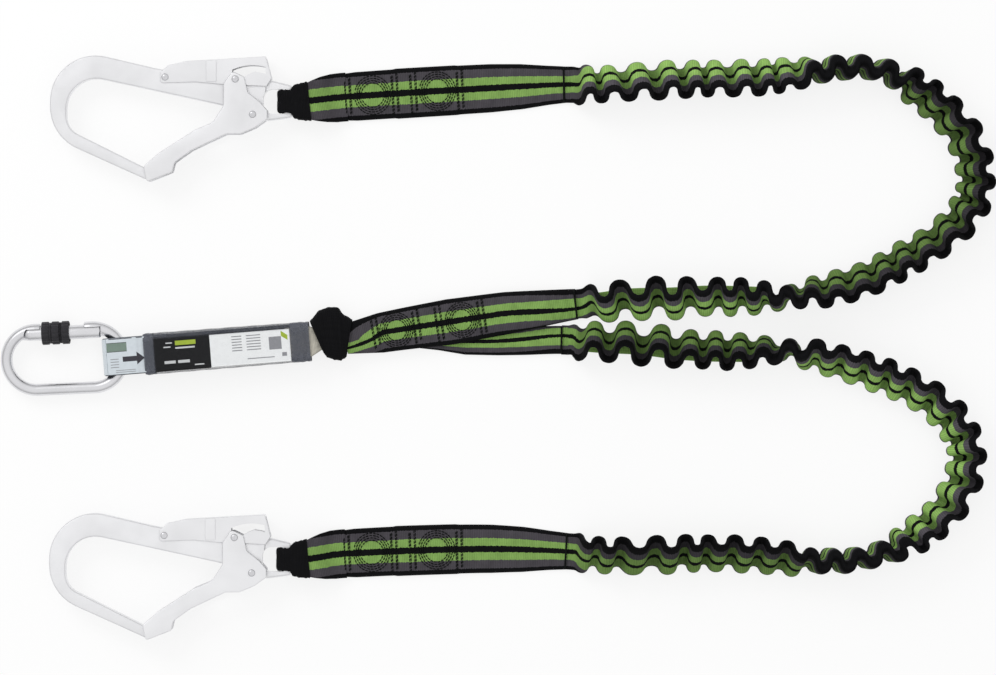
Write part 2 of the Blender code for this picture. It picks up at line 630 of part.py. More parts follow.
def karabiner_gate(axis, pivot):
    length = GATE_END_X - GATE_HINGE_X
    profile = [(GATE * math.sin(math.pi / 12 * k), -GATE * math.cos(math.pi / 12 * k)) for k in range(6)]
    chamfer = GATE * 0.25
    profile += [(GATE, 0), (GATE, length - chamfer), (GATE - chamfer, length), (0, length)]
    barrel = along_x(lathe(profile, 18), GATE_HINGE_X, GATE_Y)
    gate = piece("karabiner_gate", barrel, "bright_steel", axis, pivot, math.radians(40))
    half = FORK_SLOT / 2
    wide = GATE * 1.5
    slots = (
        ("hinge_slot", GATE_HINGE_X - GATE * 1.2, GATE_HINGE_X + GATE + SLIDE_GAP * 4),
        ("nose_slot", NOSE_PIN_X - GATE - HINGE_SHOULDER_GAP, GATE_END_X + GATE * 0.3),
    )
    for name, x0, x1 in slots:
        slot = block((x0, GATE_Y - wide, -half), (x1, GATE_Y + wide, half))
        boolean(gate, helper("karabiner_" + name, slot, axis, pivot), "DIFFERENCE")
    bore_start = GATE_HINGE_X + GATE
    bore_length = PLUNGER_LENGTH + GATE_SPRING_LENGTH + SLIDE_GAP * 3
    bore_radius = PLUNGER_DIAMETER / 2 + PIN_GAP
    bore = lathe([(0, 0), (bore_radius, 0), (bore_radius, bore_length), (0, bore_length)], 12)
    bore = along_x(bore, bore_start, GATE_Y)
    boolean(gate, helper("karabiner_spring_bore", bore, axis, pivot), "DIFFERENCE")
    for name, x, diameter in (
        ("rivet_hole", GATE_HINGE_X, GATE_RIVET_DIAMETER),
        ("pin_hole", NOSE_PIN_X, NOSE_PIN_DIAMETER),
    ):
        hole = lathe(rod_profile(diameter / 2 + PIN_GAP, GATE_DIAMETER * 1.2), 14)
        hole = moved(hole, Matrix.Translation((x, GATE_Y, 0)))
        boolean(gate, helper("karabiner_" + name, hole, axis, pivot), "DIFFERENCE")

    for name, x, diameter in (
        ("karabiner_gate_rivet", GATE_HINGE_X, GATE_RIVET_DIAMETER),
        ("karabiner_nose_pin", NOSE_PIN_X, NOSE_PIN_DIAMETER),
    ):
        r, end = diameter / 2, GATE * 0.98
        half = [(r, end * 0.94), (r * 0.8, end), (0, end)]
        pin = lathe([(radius, -z) for radius, z in half[::-1]] + half, 14)
        pin = moved(pin, Matrix.Translation((x, GATE_Y, 0)))
        piece(name, pin, "zinc_plate", axis, pivot, math.radians(40))

    start = GATE_HINGE_X + LUG_RADIUS + SEAT_GAP
    r = PLUNGER_DIAMETER / 2
    nose = [(0, 0), (r * 0.6, r * 0.2), (r, r * 0.7), (r, PLUNGER_LENGTH), (0, PLUNGER_LENGTH)]
    plunger = along_x(lathe(nose, 12), start, GATE_Y)
    piece("karabiner_spring_plunger", plunger, "zinc_plate", axis, pivot, math.radians(40))
    pitch = (GATE_SPRING_LENGTH - GATE_SPRING_WIRE) / GATE_SPRING_TURNS
    turns = coil(r - GATE_SPRING_WIRE / 2, pitch, GATE_SPRING_TURNS)
    spring_x = start + PLUNGER_LENGTH + SEAT_GAP + GATE_SPRING_WIRE / 2
    spring = along_x(tube(turns, GATE_SPRING_WIRE, 4), spring_x, GATE_Y)
    piece("karabiner_gate_spring", spring, "spring_steel", axis, pivot, math.radians(80))


def screw_sleeve(axis, pivot):
    outer, groove, width = SLEEVE_DIAMETER / 2, SLEEVE_GROOVE_DEPTH, SLEEVE_GROOVE_WIDTH
    chamfer = groove
    ring = (SLEEVE_LENGTH - 2 * width) / 3
    nut_room = NUT_OUTER + SEAT_GAP
    floor = NUT_LENGTH + SEAT_GAP
    profile = [(nut_room, 0), (outer - chamfer, 0)]
    for k in range(3):
        x0 = k * (ring + width)
        profile += [(outer, x0 + chamfer), (outer, x0 + ring - chamfer)]
        if k < 2:
            profile += [(outer - groove, x0 + ring), (outer - groove, x0 + ring + width)]
    profile += [(outer - chamfer, SLEEVE_LENGTH), (SKIRT_BORE, SLEEVE_LENGTH)]
    profile += [(SKIRT_BORE, floor + 0.001), (nut_room, floor)]
    grip = along_x(lathe(profile, 18, ring=True), SLEEVE_X, GATE_Y)
    piece("screw_sleeve_grip", grip, "black_plastic", axis, pivot, math.radians(35))
    profile = [(NUT_BORE, 0), (NUT_OUTER, 0), (NUT_OUTER, NUT_LENGTH), (NUT_BORE, NUT_LENGTH)]
    nut = along_x(lathe(profile, 20, ring=True), SLEEVE_X, GATE_Y)
    piece("screw_sleeve_nut", nut, "zinc_plate", axis, pivot, math.radians(35))


# The karabiner lies on its sleeve, and on the front loop's edge or on its own far side, whichever is higher.
ON_TAPE = TAPE_THICKNESS + 2 * SEAT_GAP + WIRE
TAPE_SHARE = FRONT_LOOP_WIDTH / 2 / GATE_Y
BAR_HEIGHT = max(
    (ON_TAPE + TAPE_SHARE * SLEEVE_DIAMETER / 2) / (1 + TAPE_SHARE),
    WIRE + (SLEEVE_DIAMETER / 2 - WIRE) * BEND / (BEND + GATE_Y),
)
KARABINER_ROLL = math.asin((SLEEVE_DIAMETER / 2 - BAR_HEIGHT) / GATE_Y)
# The loop stands high enough for the bar's round end to turn upright inside it.
BAR_SAG = BEND - math.sqrt(max(0.0, (BEND - WIRE - SEAT_GAP) ** 2 - (FRONT_LOOP_WIDTH / 2) ** 2))
LOOP_CEILING = BAR_HEIGHT + BAR_SAG + math.sin(KARABINER_ROLL) * FRONT_LOOP_WIDTH / 2 + 3 * SEAT_GAP


def karabiner(root, absorber):
    seat = absorber.matrix_basis @ Vector((-PACK_LENGTH / 2 - KARABINER_SEAT, 0, 0))
    swing_pivot = Vector((SWING_X, 0, 0))
    swing = empty(
        "karabiner_swing_axis", root, (seat.x, seat.y, BAR_HEIGHT), (KARABINER_ROLL, 0, KARABINER_HEADING)
    )
    karabiner_body(swing, swing_pivot)
    hinge_pivot = Vector((GATE_HINGE_X, GATE_Y, 0))
    hinge = empty("karabiner_gate_axis", swing, hinge_pivot - swing_pivot)
    karabiner_gate(hinge, hinge_pivot)
    slide_pivot = Vector((SLEEVE_X, GATE_Y, 0))
    slide = empty("screw_sleeve_axis", hinge, slide_pivot - hinge_pivot)
    screw_sleeve(slide, slide_pivot)


# Absorber. Its layers, from the floor up.

TAIL_LOW = COVER_WALL + SEAT_GAP + TAPE_THICKNESS / 2
FOLD_PITCH = FOLD_THICKNESS + FOLD_GAP
FOLD_BASE = COVER_WALL + SEAT_GAP + TAPE_THICKNESS + SEAT_GAP + FOLD_THICKNESS / 2
FOLD_TOP = FOLD_BASE + (FOLD_LAYERS - 1) * FOLD_PITCH
TAIL_HIGH = FOLD_TOP + FOLD_THICKNESS / 2 + SEAT_GAP + TAPE_THICKNESS / 2
CARD_BASE = TAIL_HIGH + TAPE_THICKNESS / 2 + SEAT_GAP
COVER_HEIGHT = CARD_BASE + CARD_THICKNESS + SEAT_GAP + COVER_WALL


def cover_width(x):
    return PACK_WIDTH * between(x / (PACK_LENGTH / 2), COVER_STATIONS)


def ribbon(path, section_of, offset=0.0):
    """Rings along a path in the X-Z plane, with the tape's width along Y. Offset is to the path's left."""
    rings = []
    for i, (x, z) in enumerate(path):
        back, ahead = path[max(i - 1, 0)], path[min(i + 1, len(path) - 1)]
        along = Vector((ahead[0] - back[0], 0, ahead[1] - back[1])).normalized()
        up = Vector((-along.z, 0, along.x))
        rings.append(ring_at(Vector((x, 0, z)) + up * offset, Vector((0, 1, 0)), up, section_of(i)))
    return rings


def half_ellipse(centre, half_length, half_height, start, count):
    """Points from start, in radians, half a turn on, on an ellipse in the X-Z plane."""
    turns = [start + math.pi * k / count for k in range(count + 1)]
    return [(centre[0] + half_length * math.cos(a), centre[1] + half_height * math.sin(a)) for a in turns]


def tear_webbing(absorber):
    reach = PACK_LENGTH / 2 - FOLD_MARGIN - FOLD_PITCH
    path = []
    for layer in range(FOLD_LAYERS):
        z = FOLD_BASE + layer * FOLD_PITCH
        way = 1 if layer % 2 == 0 else -1
        path += [(-way * reach, z), (0.0, z), (way * reach, z)]
        if layer < FOLD_LAYERS - 1:
            for a in (45, 90, 135):
                turn = math.radians(a)
                x = way * (reach + FOLD_PITCH / 2 * math.sin(turn))
                path.append((x, z + FOLD_PITCH / 2 * (1 - math.cos(turn))))
    w, t = FOLD_WIDTH / 2, FOLD_THICKNESS / 2
    rings = ribbon(path, lambda i: [(w, -t), (w, t), (-w, t), (-w, -t)])
    piece("absorber_tear_webbing", loft(rings), "black_webbing", absorber)


def absorber_cover(absorber):
    outer, inner = [], []
    for share, wide in COVER_STATIONS:
        centre = Vector((share * PACK_LENGTH / 2, 0, COVER_HEIGHT / 2))
        across, up = Vector((0, 1, 0)), Vector((0, 0, 1))
        width, walls = PACK_WIDTH * wide, 2 * COVER_WALL
        outer.append(ring_at(centre, across, up, rounded_section(width, COVER_HEIGHT, COVER_CORNER)))
        bore = rounded_section(width - walls, COVER_HEIGHT - walls, COVER_CORNER - COVER_WALL)
        inner.append(ring_at(centre, across, up, bore))
    piece("absorber_cover", loft(outer, inner), "clear_film", absorber, smooth=math.radians(50))


def label_cards(absorber):
    x = -PACK_LENGTH / 2 + FRONT_CARD_INSET
    # Under the cover's rounded corners, a card is narrower than the cover's bore.
    corner = COVER_CORNER - COVER_WALL - SEAT_GAP * math.sin(math.pi / 4) / (1 - math.cos(math.pi / 4))
    for name, length, kind in (
        ("front_label_card", FRONT_CARD_LENGTH, "black_card"),
        ("rear_label_card", REAR_CARD_LENGTH, "white_card"),
    ):
        half = cover_width(x + length) / 2 - COVER_WALL - max(corner, 0.0) - SEAT_GAP
        card = block((x, -half, CARD_BASE), (x + length, half, CARD_BASE + CARD_THICKNESS))
        piece(name, card, kind, absorber)
        x += length + SEAT_GAP


def front_loop(absorber):
    end = -PACK_LENGTH / 2
    low, high = TAPE_THICKNESS / 2, max(LOOP_CEILING + TAPE_THICKNESS / 2, TAIL_HIGH)
    middle, tall = (low + high) / 2, (high - low) / 2
    apex = end - FRONT_LOOP_REACH + TAPE_THICKNESS / 2 + SEAT_GAP + CARD_THICKNESS
    deep = tall * 0.5
    mouth = apex + deep
    top = [(end + TAIL_LENGTH, TAIL_HIGH), (end - SEAT_GAP, TAIL_HIGH)]
    top += [(end - 0.004, (TAIL_HIGH + high) / 2), (end - 0.009, high)]
    bend = half_ellipse((mouth, middle), deep, tall, math.pi / 2, 12)
    bottom = [(end - 0.008, low), (end - 0.003, (low + TAIL_LOW) / 2)]
    bottom += [(end - SEAT_GAP, TAIL_LOW), (end + TAIL_LENGTH, TAIL_LOW)]
    path = top + bend + bottom
    rings = ribbon(path, lambda i: flat_section(FRONT_LOOP_WIDTH, TAPE_THICKNESS))
    piece("absorber_front_loop", loft(rings), "grey_webbing", absorber, smooth=math.radians(40))
    label_path = top[2:] + bend[: len(bend) * 2 // 3]
    out = TAPE_THICKNESS / 2 + SEAT_GAP + CARD_THICKNESS / 2
    rings = ribbon(label_path, lambda i: flat_section(FRONT_LABEL_WIDTH, CARD_THICKNESS, 0.2), -out)
    piece("front_loop_label", loft(rings), "pale_label", absorber, smooth=math.radians(40))


def rear_loop(absorber):
    end = PACK_LENGTH / 2
    tall = BIGHT_DIAMETER / 2 + 2 * SEAT_GAP + TAPE_THICKNESS / 2
    mouth = end + REAR_LOOP_REACH - tall - TAPE_THICKNESS / 2
    half_way = (end + mouth) / 2
    upper, lower = (TAIL_HIGH + BIGHT_HEIGHT + tall) / 2, (TAIL_LOW + BIGHT_HEIGHT - tall) / 2
    top = [(end - TAIL_LENGTH, TAIL_HIGH), (end, TAIL_HIGH), (half_way, upper)]
    bend = half_ellipse((mouth, BIGHT_HEIGHT), tall, tall, -math.pi / 2, 10)[::-1]
    bottom = [(half_way, lower + SEAT_GAP), (end, TAIL_LOW), (end - TAIL_LENGTH, TAIL_LOW)]
    path = top + bend + bottom
    narrow = [(end, REAR_LOOP_WIDTH), (half_way, REAR_LOOP_GATHERED * 1.1), (mouth, REAR_LOOP_GATHERED)]
    rings = ribbon(path, lambda i: flat_section(between(path[i][0], narrow), TAPE_THICKNESS))
    piece("absorber_rear_loop", loft(rings), "cream_webbing", absorber, smooth=math.radians(40))
    return absorber.matrix_basis @ Vector((mouth, 0, BIGHT_HEIGHT))


# Fork


def link(root, bight_at):
    """The legs' bight through the rear loop, and the wear sleeve over both."""
    r = BIGHT_DIAMETER / 2
    out = REAR_LOOP_GATHERED / 2 + r + 2 * SEAT_GAP
    over_wall = LINK_SLEEVE_WALL + 2 * SEAT_GAP + r
    upper = FORK_RISE + SECTION_THICKNESS * 1.5 + SEAT_GAP - BIGHT_HEIGHT
    lower = max(FORK_RISE + SECTION_THICKNESS / 2, over_wall) - BIGHT_HEIGHT
    turn = 0.0036
    path = []
    for side, route, lift in ((1, FORK_A, upper), (-1, FORK_B, lower)):
        tip = Vector(route[-1]) - Vector((bight_at.x, bight_at.y))
        leg = [(tip.x - 0.0035, side * out, lift), (turn + (tip.x - turn) * 0.3, side * out, lift * 0.9)]
        leg += [(turn, side * out, lift * 0.15)]
        leg += [(turn * 0.3, side * (out - turn * 0.3), 0.0), (0.0, side * (out - turn), 0.0)]
        path += leg if side > 0 else leg[::-1]
    bight = tube([Vector(p) + bight_at for p in path], BIGHT_DIAMETER, 10)
    piece("link_bight", bight, "black_webbing", root, smooth=math.radians(50))

    outer, inner = [], []
    for top, low, height in LINK_SLEEVE_STATIONS:
        top, low = Vector((*top, 0)), Vector((*low, 0))
        across = (top - low).normalized()
        centre = (top + low) / 2 + Vector((0, 0, height / 2))
        width, corner = (top - low).length, height * 0.25
        up = Vector((0, 0, 1))
        outer.append(ring_at(centre, across, up, rounded_section(width, height, corner)))
        wall = LINK_SLEEVE_WALL
        bore = rounded_section(width - 2 * wall, height - 2 * wall, corner - wall)
        inner.append(ring_at(centre, across, up, bore))
    piece("link_wear_sleeve", loft(outer, inner), "black_webbing", root, smooth=math.radians(50))


def sewn_section(name, route, widths, lift, root, before=None, after=None):
    """Webbing sewn flat along a route, lifted off the floor by lift(distance from its start, its length)."""
    curve, headings, length = smooth_curve(route, 13, before, after)
    rings = []
    for i, (point, ahead) in enumerate(zip(curve, headings)):
        share = i / (len(curve) - 1)
        across = Vector((-ahead.y, ahead.x, 0))
        height = SECTION_THICKNESS / 2 + lift(share * length, length)
        section = crowned_section(between(share, widths), SECTION_THICKNESS, SECTION_EDGE)
        rings.append(ring_at(Vector((point.x, point.y, height)), across, Vector((0, 0, 1)), section))
    piece(name, loft(rings), "green_webbing", root, smooth=math.radians(40))


def fork(root):
    over = SECTION_THICKNESS + SEAT_GAP

    def into_sleeve(run, length):
        return FORK_RISE * ease((run - length + FORK_RISE_RUN) / (FORK_RISE_RUN * 0.7))

    def over_other(run, length):
        return over * ease(run / FORK_CROSSING_RUN) + into_sleeve(run, length)

    sewn_section("leg_a_fork_section", FORK_A, FORK_A_WIDTHS, over_other, root, before=ELASTIC_A[-2])
    sewn_section("leg_b_fork_section", FORK_B, FORK_B_WIDTHS, into_sleeve, root, before=ELASTIC_B[-2])


# Gathered elastic legs


def lean_at(share):
    """The side to which the webbing leans, +1 or -1, turning over twice on the way and flat at both seams."""
    side = 1 - 2 * ease((share - 0.255) / 0.05) + 2 * ease((share - 0.69) / 0.05)
    return side * ease(share / 0.03) * ease((1 - share) / 0.03)


def elastic_leg(name, route, before, after, root):
    """
    A flattened tube, gathered into waves along its own normal. The waves' phase drifts a little, so that
    their spacing is uneven, and their flanks lean so that the crests are rounder than the hollows.
    """
    curve, headings, length = smooth_curve(route, ELASTIC_RINGS, before, after)
    rings = []
    last = len(curve) - 1
    for i, (point, flat) in enumerate(zip(curve, headings)):
        share = i / last
        phase = 2 * math.pi * ELASTIC_WAVES * share
        phase += 0.9 * math.sin(2 * math.pi * 3.3 * share) + 0.45 * math.sin(2 * math.pi * 7.7 * share + 1)
        spread = ease(share / 0.03) * ease((1 - share) / 0.03)
        width = ELASTIC_SEAM_WIDTH + (ELASTIC_WIDTH - ELASTIC_SEAM_WIDTH) * spread
        grown = ease(share / 0.02) * ease((1 - share) / 0.02)
        swell = 1 + 0.18 * math.sin(2 * math.pi * 2.3 * share + 0.6)
        reach = ELASTIC_AMPLITUDE * grown * swell
        lean = ELASTIC_LEAN * lean_at(share)
        ahead = Vector((flat.x, flat.y, 0))
        left = Vector((-ahead.y, ahead.x, 0))
        wide = left * math.cos(lean) - Vector((0, 0, math.sin(lean)))
        normal = left * math.sin(lean) + Vector((0, 0, math.cos(lean)))
        slope = reach * 2 * math.pi * ELASTIC_WAVES / length * math.cos(phase)
        turned = (normal - ahead * slope).normalized()
        skew = -0.22 * reach * math.sin(2 * phase)
        base = width / 2 * abs(math.sin(lean))
        base += (ELASTIC_AMPLITUDE * 1.2 * grown + ELASTIC_THICKNESS / 2) * math.cos(lean)
        centre = Vector((point.x, point.y, base)) + normal * (reach * math.sin(phase)) + ahead * skew
        if i in (0, last):
            centre += ahead * (SEAT_GAP if i == 0 else -SEAT_GAP)
            turned = normal
        rings.append(ring_at(centre, wide, turned, thin_section(width, ELASTIC_THICKNESS)))
    piece(name, loft(rings), "green_webbing", root, smooth=math.radians(60))
    return length


def hook_section(name, route, after, root):
    sewn_section(name, route, HOOK_SECTION_WIDTHS, lambda run, length: 0.0, root, after=after)


def hook_loop(leg, hook_at, route, middle, root):
    """The webbing's loop round the hook's eye bar, and the tubular wear sleeve over it."""
    clear = EYE_BAR / 2 * 1.16 + SEAT_GAP  # the bar's corners turn inside this
    sleeve_in = HOOK_SLEEVE_WALL + SEAT_GAP
    thick = HOOK_LOOP_THICKNESS
    bend = clear + sleeve_in + thick / 2
    seam = Vector(route[1]) - Vector(route[0])
    seam.normalize()
    start, end = Vector(hook_at), Vector(route[0]) - seam * SEAT_GAP
    centre_y = start.y + (EYE_TOP + EYE_LOW) / 2
    run = end.x - start.x
    straight = bend * 1.1
    layer = thick / 2

    def plan(x):
        """The middle line's place and heading at this distance from the bar: straight, then to the seam."""
        span = run - straight
        t = max(0.0, min(1.0, (x - straight) / span))
        slope = seam.y / seam.x
        y = centre_y + (end.y - centre_y) * (3 * t**2 - 2 * t**3) + slope * span * (t**3 - t**2)
        rise = (end.y - centre_y) * (6 * t - 6 * t**2) / span + slope * (3 * t**2 - 2 * t)
        return Vector((start.x + x, y, 0)), Vector((1, rise, 0)).normalized()

    top = [
        (run, layer * 3 + SEAT_GAP),
        (run * 0.8, layer * 3 + SEAT_GAP + 0.0016),
        (run * 0.62, middle + bend * 0.05),
        (run * 0.42, middle + bend * 0.62),
        (run * 0.22, middle + bend * 0.96),
        (0.0, middle + bend),
    ]
    round_bar = half_ellipse((0.0, middle), bend, bend, math.pi / 2, 8)[1:]
    hold = sleeve_in + thick / 2
    bottom = [
        (run * 0.22, max(hold, middle - bend * 0.97)),
        (run * 0.45, hold),
        (run * 0.62, hold * 0.85),
        (run * 0.8, layer * 1.15),
        (run, layer),
    ]
    path = top + round_bar + bottom
    in_eye = HOOK_SLEEVE_WIDTH - 2 * sleeve_in
    widths = [(0.0, in_eye), (0.2, in_eye), (0.45, HOOK_LOOP_FLARE)]
    widths += [(0.8, HOOK_LOOP_OPEN), (1.0, HOOK_LOOP_SEAM)]
    outer_widths = [(0.0, HOOK_SLEEVE_WIDTH), (0.2, HOOK_SLEEVE_WIDTH), (0.45, HOOK_LOOP_FLARE + 0.003)]

    def rings_of(points, section):
        rings = []
        for i, (x, z) in enumerate(points):
            back, ahead = points[max(i - 1, 0)], points[min(i + 1, len(points) - 1)]
            here, flat = plan(x)
            along = flat * (ahead[0] - back[0])
            if x < run:
                along += Vector((0, 0, ahead[1] - back[1]))
            along.normalize()
            across = Vector((-flat.y, flat.x, 0))
            up = across.cross(along)
            rings.append(ring_at(here + Vector((0, 0, z)), across, up, section(x / run)))
        return rings

    tape = rings_of(path, lambda share: flat_section(between(share, widths), thick))
    piece(leg + "_hook_loop", loft(tape), "green_webbing", root, smooth=math.radians(50))
    cut = run * 0.46
    short = [(x, z) for x, z in path if x <= cut]
    tall = thick + 2 * sleeve_in
    outer = rings_of(short, lambda share: flat_section(between(share, outer_widths), tall, 0.25))
    room = 2 * SEAT_GAP
    inner = rings_of(short, lambda share: flat_section(between(share, widths) + room, thick + room))
    piece(leg + "_hook_wear_sleeve", loft(outer, inner), "black_webbing", root, smooth=math.radians(50))


# Scaffold hook

LEVER_INNER = HOOK_THICKNESS / 2 + LEVER_SLIDE
LEVER_OUTER = LEVER_INNER + LEVER_PLATE
GATE_INNER = LEVER_OUTER + SLIDE_GAP
GATE_OUTER = GATE_INNER + GATE_PLATE
HEAD_FROM = GATE_OUTER + SEAT_GAP / 3
HOOK_HEIGHT = HEAD_FROM + RIVET_HEAD_HEIGHT  # half the thickness of the hook over its rivets
AXIS = Vector(HOOK_GATE_AXIS)
PIN = Vector(LATCH_PIN_AT)
LEVER = Vector(LEVER_AXIS)


def turned_about(point, centre, angle):
    return centre + Matrix.Rotation(angle, 2) @ (point - centre)


def rivet(diameter, head_from, head_diameter=RIVET_HEAD_DIAMETER):
    """A shank with a low round head at each end."""
    r, head, tall = diameter / 2, head_diameter / 2, RIVET_HEAD_HEIGHT
    upper = [(r, head_from), (head, head_from), (head, head_from + tall * 0.35)]
    upper += [(head * 0.7, head_from + tall * 0.85), (0, head_from + tall)]
    return lathe([(radius, -z) for radius, z in upper[::-1]] + upper, 10)


def at_point(shape, point):
    return moved(shape, Matrix.Translation((point[0], point[1], 0)))


def hook_body(prefix, axis):
    start = math.atan2(LATCH_PIN_AT[1] - 0.0040 - AXIS.y, HOOK_BODY_UPPER[0][0] - AXIS.x)
    shoulder = arc(HOOK_GATE_AXIS, SHOULDER_RADIUS, math.radians(67), start, 8)
    outline = rounded([*HOOK_BODY_LOWER, *[(p.x, p.y, 0) for p in shoulder], *HOOK_BODY_UPPER])
    half = HOOK_THICKNESS / 2
    body = piece(prefix + "_body", slab(outline, -half, half), "zinc_plate", axis, smooth=math.radians(30))
    bevel(body, 0.0012)
    half, tall, cut = EYE_BAR / 2, EYE_THICKNESS / 2, EYE_BAR * 0.2
    room = [(EYE_LEFT, EYE_TOP, 0.008), (EYE_LEFT, EYE_LOW, 0.008)]
    room += [(-half, EYE_LOW, 0.0015), (-half, EYE_TOP, 0.0015)]
    opening = helper(prefix + "_eye_opening", slab(rounded(room), -0.02, 0.02), axis)
    boolean(body, opening, "DIFFERENCE")
    eye = helper(prefix + "_eye_ring", slab(rounded(EYE_OUTLINE), -tall, tall), axis)
    bevel(eye, cut)
    boolean(eye, opening, "DIFFERENCE")
    boolean(body, eye, "UNION")
    for side, name in ((1, "upper"), (-1, "lower")):
        corner = [(-half - cut, tall - 2 * cut), (2 * cut - half, tall + cut), (-half - cut, tall + cut)]
        ends = [EYE_LOW + SLIDE_GAP, EYE_TOP - SLIDE_GAP]
        rings = [[Vector((x, y, side * z)) for x, z in corner] for y in ends]
        boolean(body, helper(f"{prefix}_eye_bar_{name}_edge", loft(rings), axis), "DIFFERENCE")
    for name, point, diameter in (
        ("gate_rivet", AXIS, HOOK_GATE_RIVET_DIAMETER),
        ("lever_rivet", LEVER, LEVER_RIVET_DIAMETER),
    ):
        bore = at_point(lathe(rod_profile(diameter / 2 + PIN_GAP, 0.03), 14), point)
        boolean(body, helper(f"{prefix}_{name}_bore", bore, axis), "DIFFERENCE")
    recess_radius = HOOK_GATE_RIVET_DIAMETER / 2 + PIN_GAP + TORSION_WIRE + 2 * SLIDE_GAP
    depth = GATE_INNER - SEAT_GAP - TORSION_TURNS * TORSION_PITCH - TORSION_WIRE - SEAT_GAP
    recess = lathe([(0, depth), (recess_radius, depth), (recess_radius, 0.02), (0, 0.02)], 16)
    boolean(body, helper(prefix + "_spring_recess", at_point(recess, AXIS), axis), "DIFFERENCE")

    for name, point, diameter, head_from in (
        ("gate_rivet", AXIS, HOOK_GATE_RIVET_DIAMETER, HEAD_FROM),
        ("lever_rivet", LEVER, LEVER_RIVET_DIAMETER, LEVER_OUTER + SEAT_GAP / 3),
    ):
        shape = at_point(rivet(diameter, head_from), point)
        piece(f"{prefix}_{name}", shape, "zinc_plate", axis, smooth=math.radians(40))

    radius = HOOK_GATE_RIVET_DIAMETER / 2 + PIN_GAP + TORSION_WIRE / 2 + SLIDE_GAP / 2
    turns = coil(radius, TORSION_PITCH, TORSION_TURNS)
    last = Vector(turns[-1])
    away = Vector((-last.y, last.x, 0)).normalized()
    turns += [last + away * TORSION_LEG * k / 3 for k in (1, 2, 3)]
    rise = depth + SEAT_GAP + TORSION_WIRE / 2
    spring = moved(tube(turns, TORSION_WIRE, 5), Matrix.Translation((AXIS.x, AXIS.y, rise)))
    piece(prefix + "_gate_spring", spring, "spring_steel", axis, smooth=math.radians(80))


def hook_gate(prefix, axis, pivot):
    whole = slab(rounded(HOOK_GATE_OUTLINE, math.radians(25)), -GATE_OUTER, GATE_OUTER)
    gate = piece(prefix + "_gate", whole, "zinc_plate", axis, pivot)
    # The channel's room is all of the outline but a strip along the web's run.
    first, corner, tip = (Vector(p) for p in WEB_RUN)
    inward = Vector((corner.y - first.y, first.x - corner.x)).normalized()
    if inward.dot(AXIS - first) < 0 and inward.y > 0:
        inward = -inward
    down = Vector((tip.y - corner.y, corner.x - tip.x)).normalized()
    if down.y > 0:
        down = -down
    mitre = (inward + down).normalized() * GATE_WEB / math.cos(inward.angle(down) / 2)
    room = [first + Vector((0, 0.008)), first + inward * GATE_WEB, corner + mitre, tip + down * GATE_WEB]
    room += [Vector((-0.130, tip.y + down.y * GATE_WEB)), Vector((-0.130, -0.08)), Vector((0.0, -0.06))]
    room += [Vector((0.0, 0.05)), Vector((first.x, 0.05))]
    channel = helper(prefix + "_gate_channel", slab(room, -GATE_INNER, GATE_INNER), axis, pivot)
    boolean(gate, channel, "DIFFERENCE")
    for name, point, diameter in (
        ("gate_pivot_hole", AXIS, HOOK_GATE_RIVET_DIAMETER),
        ("latch_pin_hole", PIN, LATCH_PIN_DIAMETER),
    ):
        hole = at_point(lathe(rod_profile(diameter / 2 + PIN_GAP, 0.03), 14), point)
        boolean(gate, helper(f"{prefix}_{name}", hole, axis, pivot), "DIFFERENCE")
    pin = at_point(rivet(LATCH_PIN_DIAMETER, HEAD_FROM), PIN)
    piece(prefix + "_latch_pin", pin, "zinc_plate", axis, pivot, math.radians(40))


def lever_window():
    """
    The lever's cam window, at rest. Its top is an arc about the gate's axis. Its lower side is the path
    that the latch pin takes over the lever while both turn, set off by the pin's radius and a gap.
    """
    reach = LATCH_PIN_DIAMETER / 2 + LATCH_GAP
    steps = 12

    def pin_in_lever(share):
        swung = turned_about(PIN, AXIS, -HOOK_GATE_OPENS * share)
        return turned_about(swung, LEVER, LEVER_SWINGS * share)

    cam = []
    for k in range(steps + 1):
        here = pin_in_lever(k / steps)
        way = (pin_in_lever(k / steps + 0.01) - pin_in_lever(k / steps - 0.01)).normalized()
        cam.append(here + Vector((way.y, -way.x)) * reach)
    first = cam[0] - PIN
    start = math.atan2(first.y, first.x)
    pocket = arc(PIN, reach, start, -math.pi, 6)[1:]
    right = math.atan2(0.0286 * 1.0, 0.0093)
    left = math.pi - math.asin(min(1.0, 0.0380 / WINDOW_RADIUS))
    top = arc(HOOK_GATE_AXIS, WINDOW_RADIUS, left, right + math.radians(3), 10)
    end = cam[-1] - AXIS
    tongue_radius = min(TONGUE_RADIUS, end.length - 0.0001)
    tongue = arc(HOOK_GATE_AXIS, tongue_radius, right, math.atan2(end.y, end.x) - math.radians(1), 5)
    return top + tongue + cam[::-1] + pocket


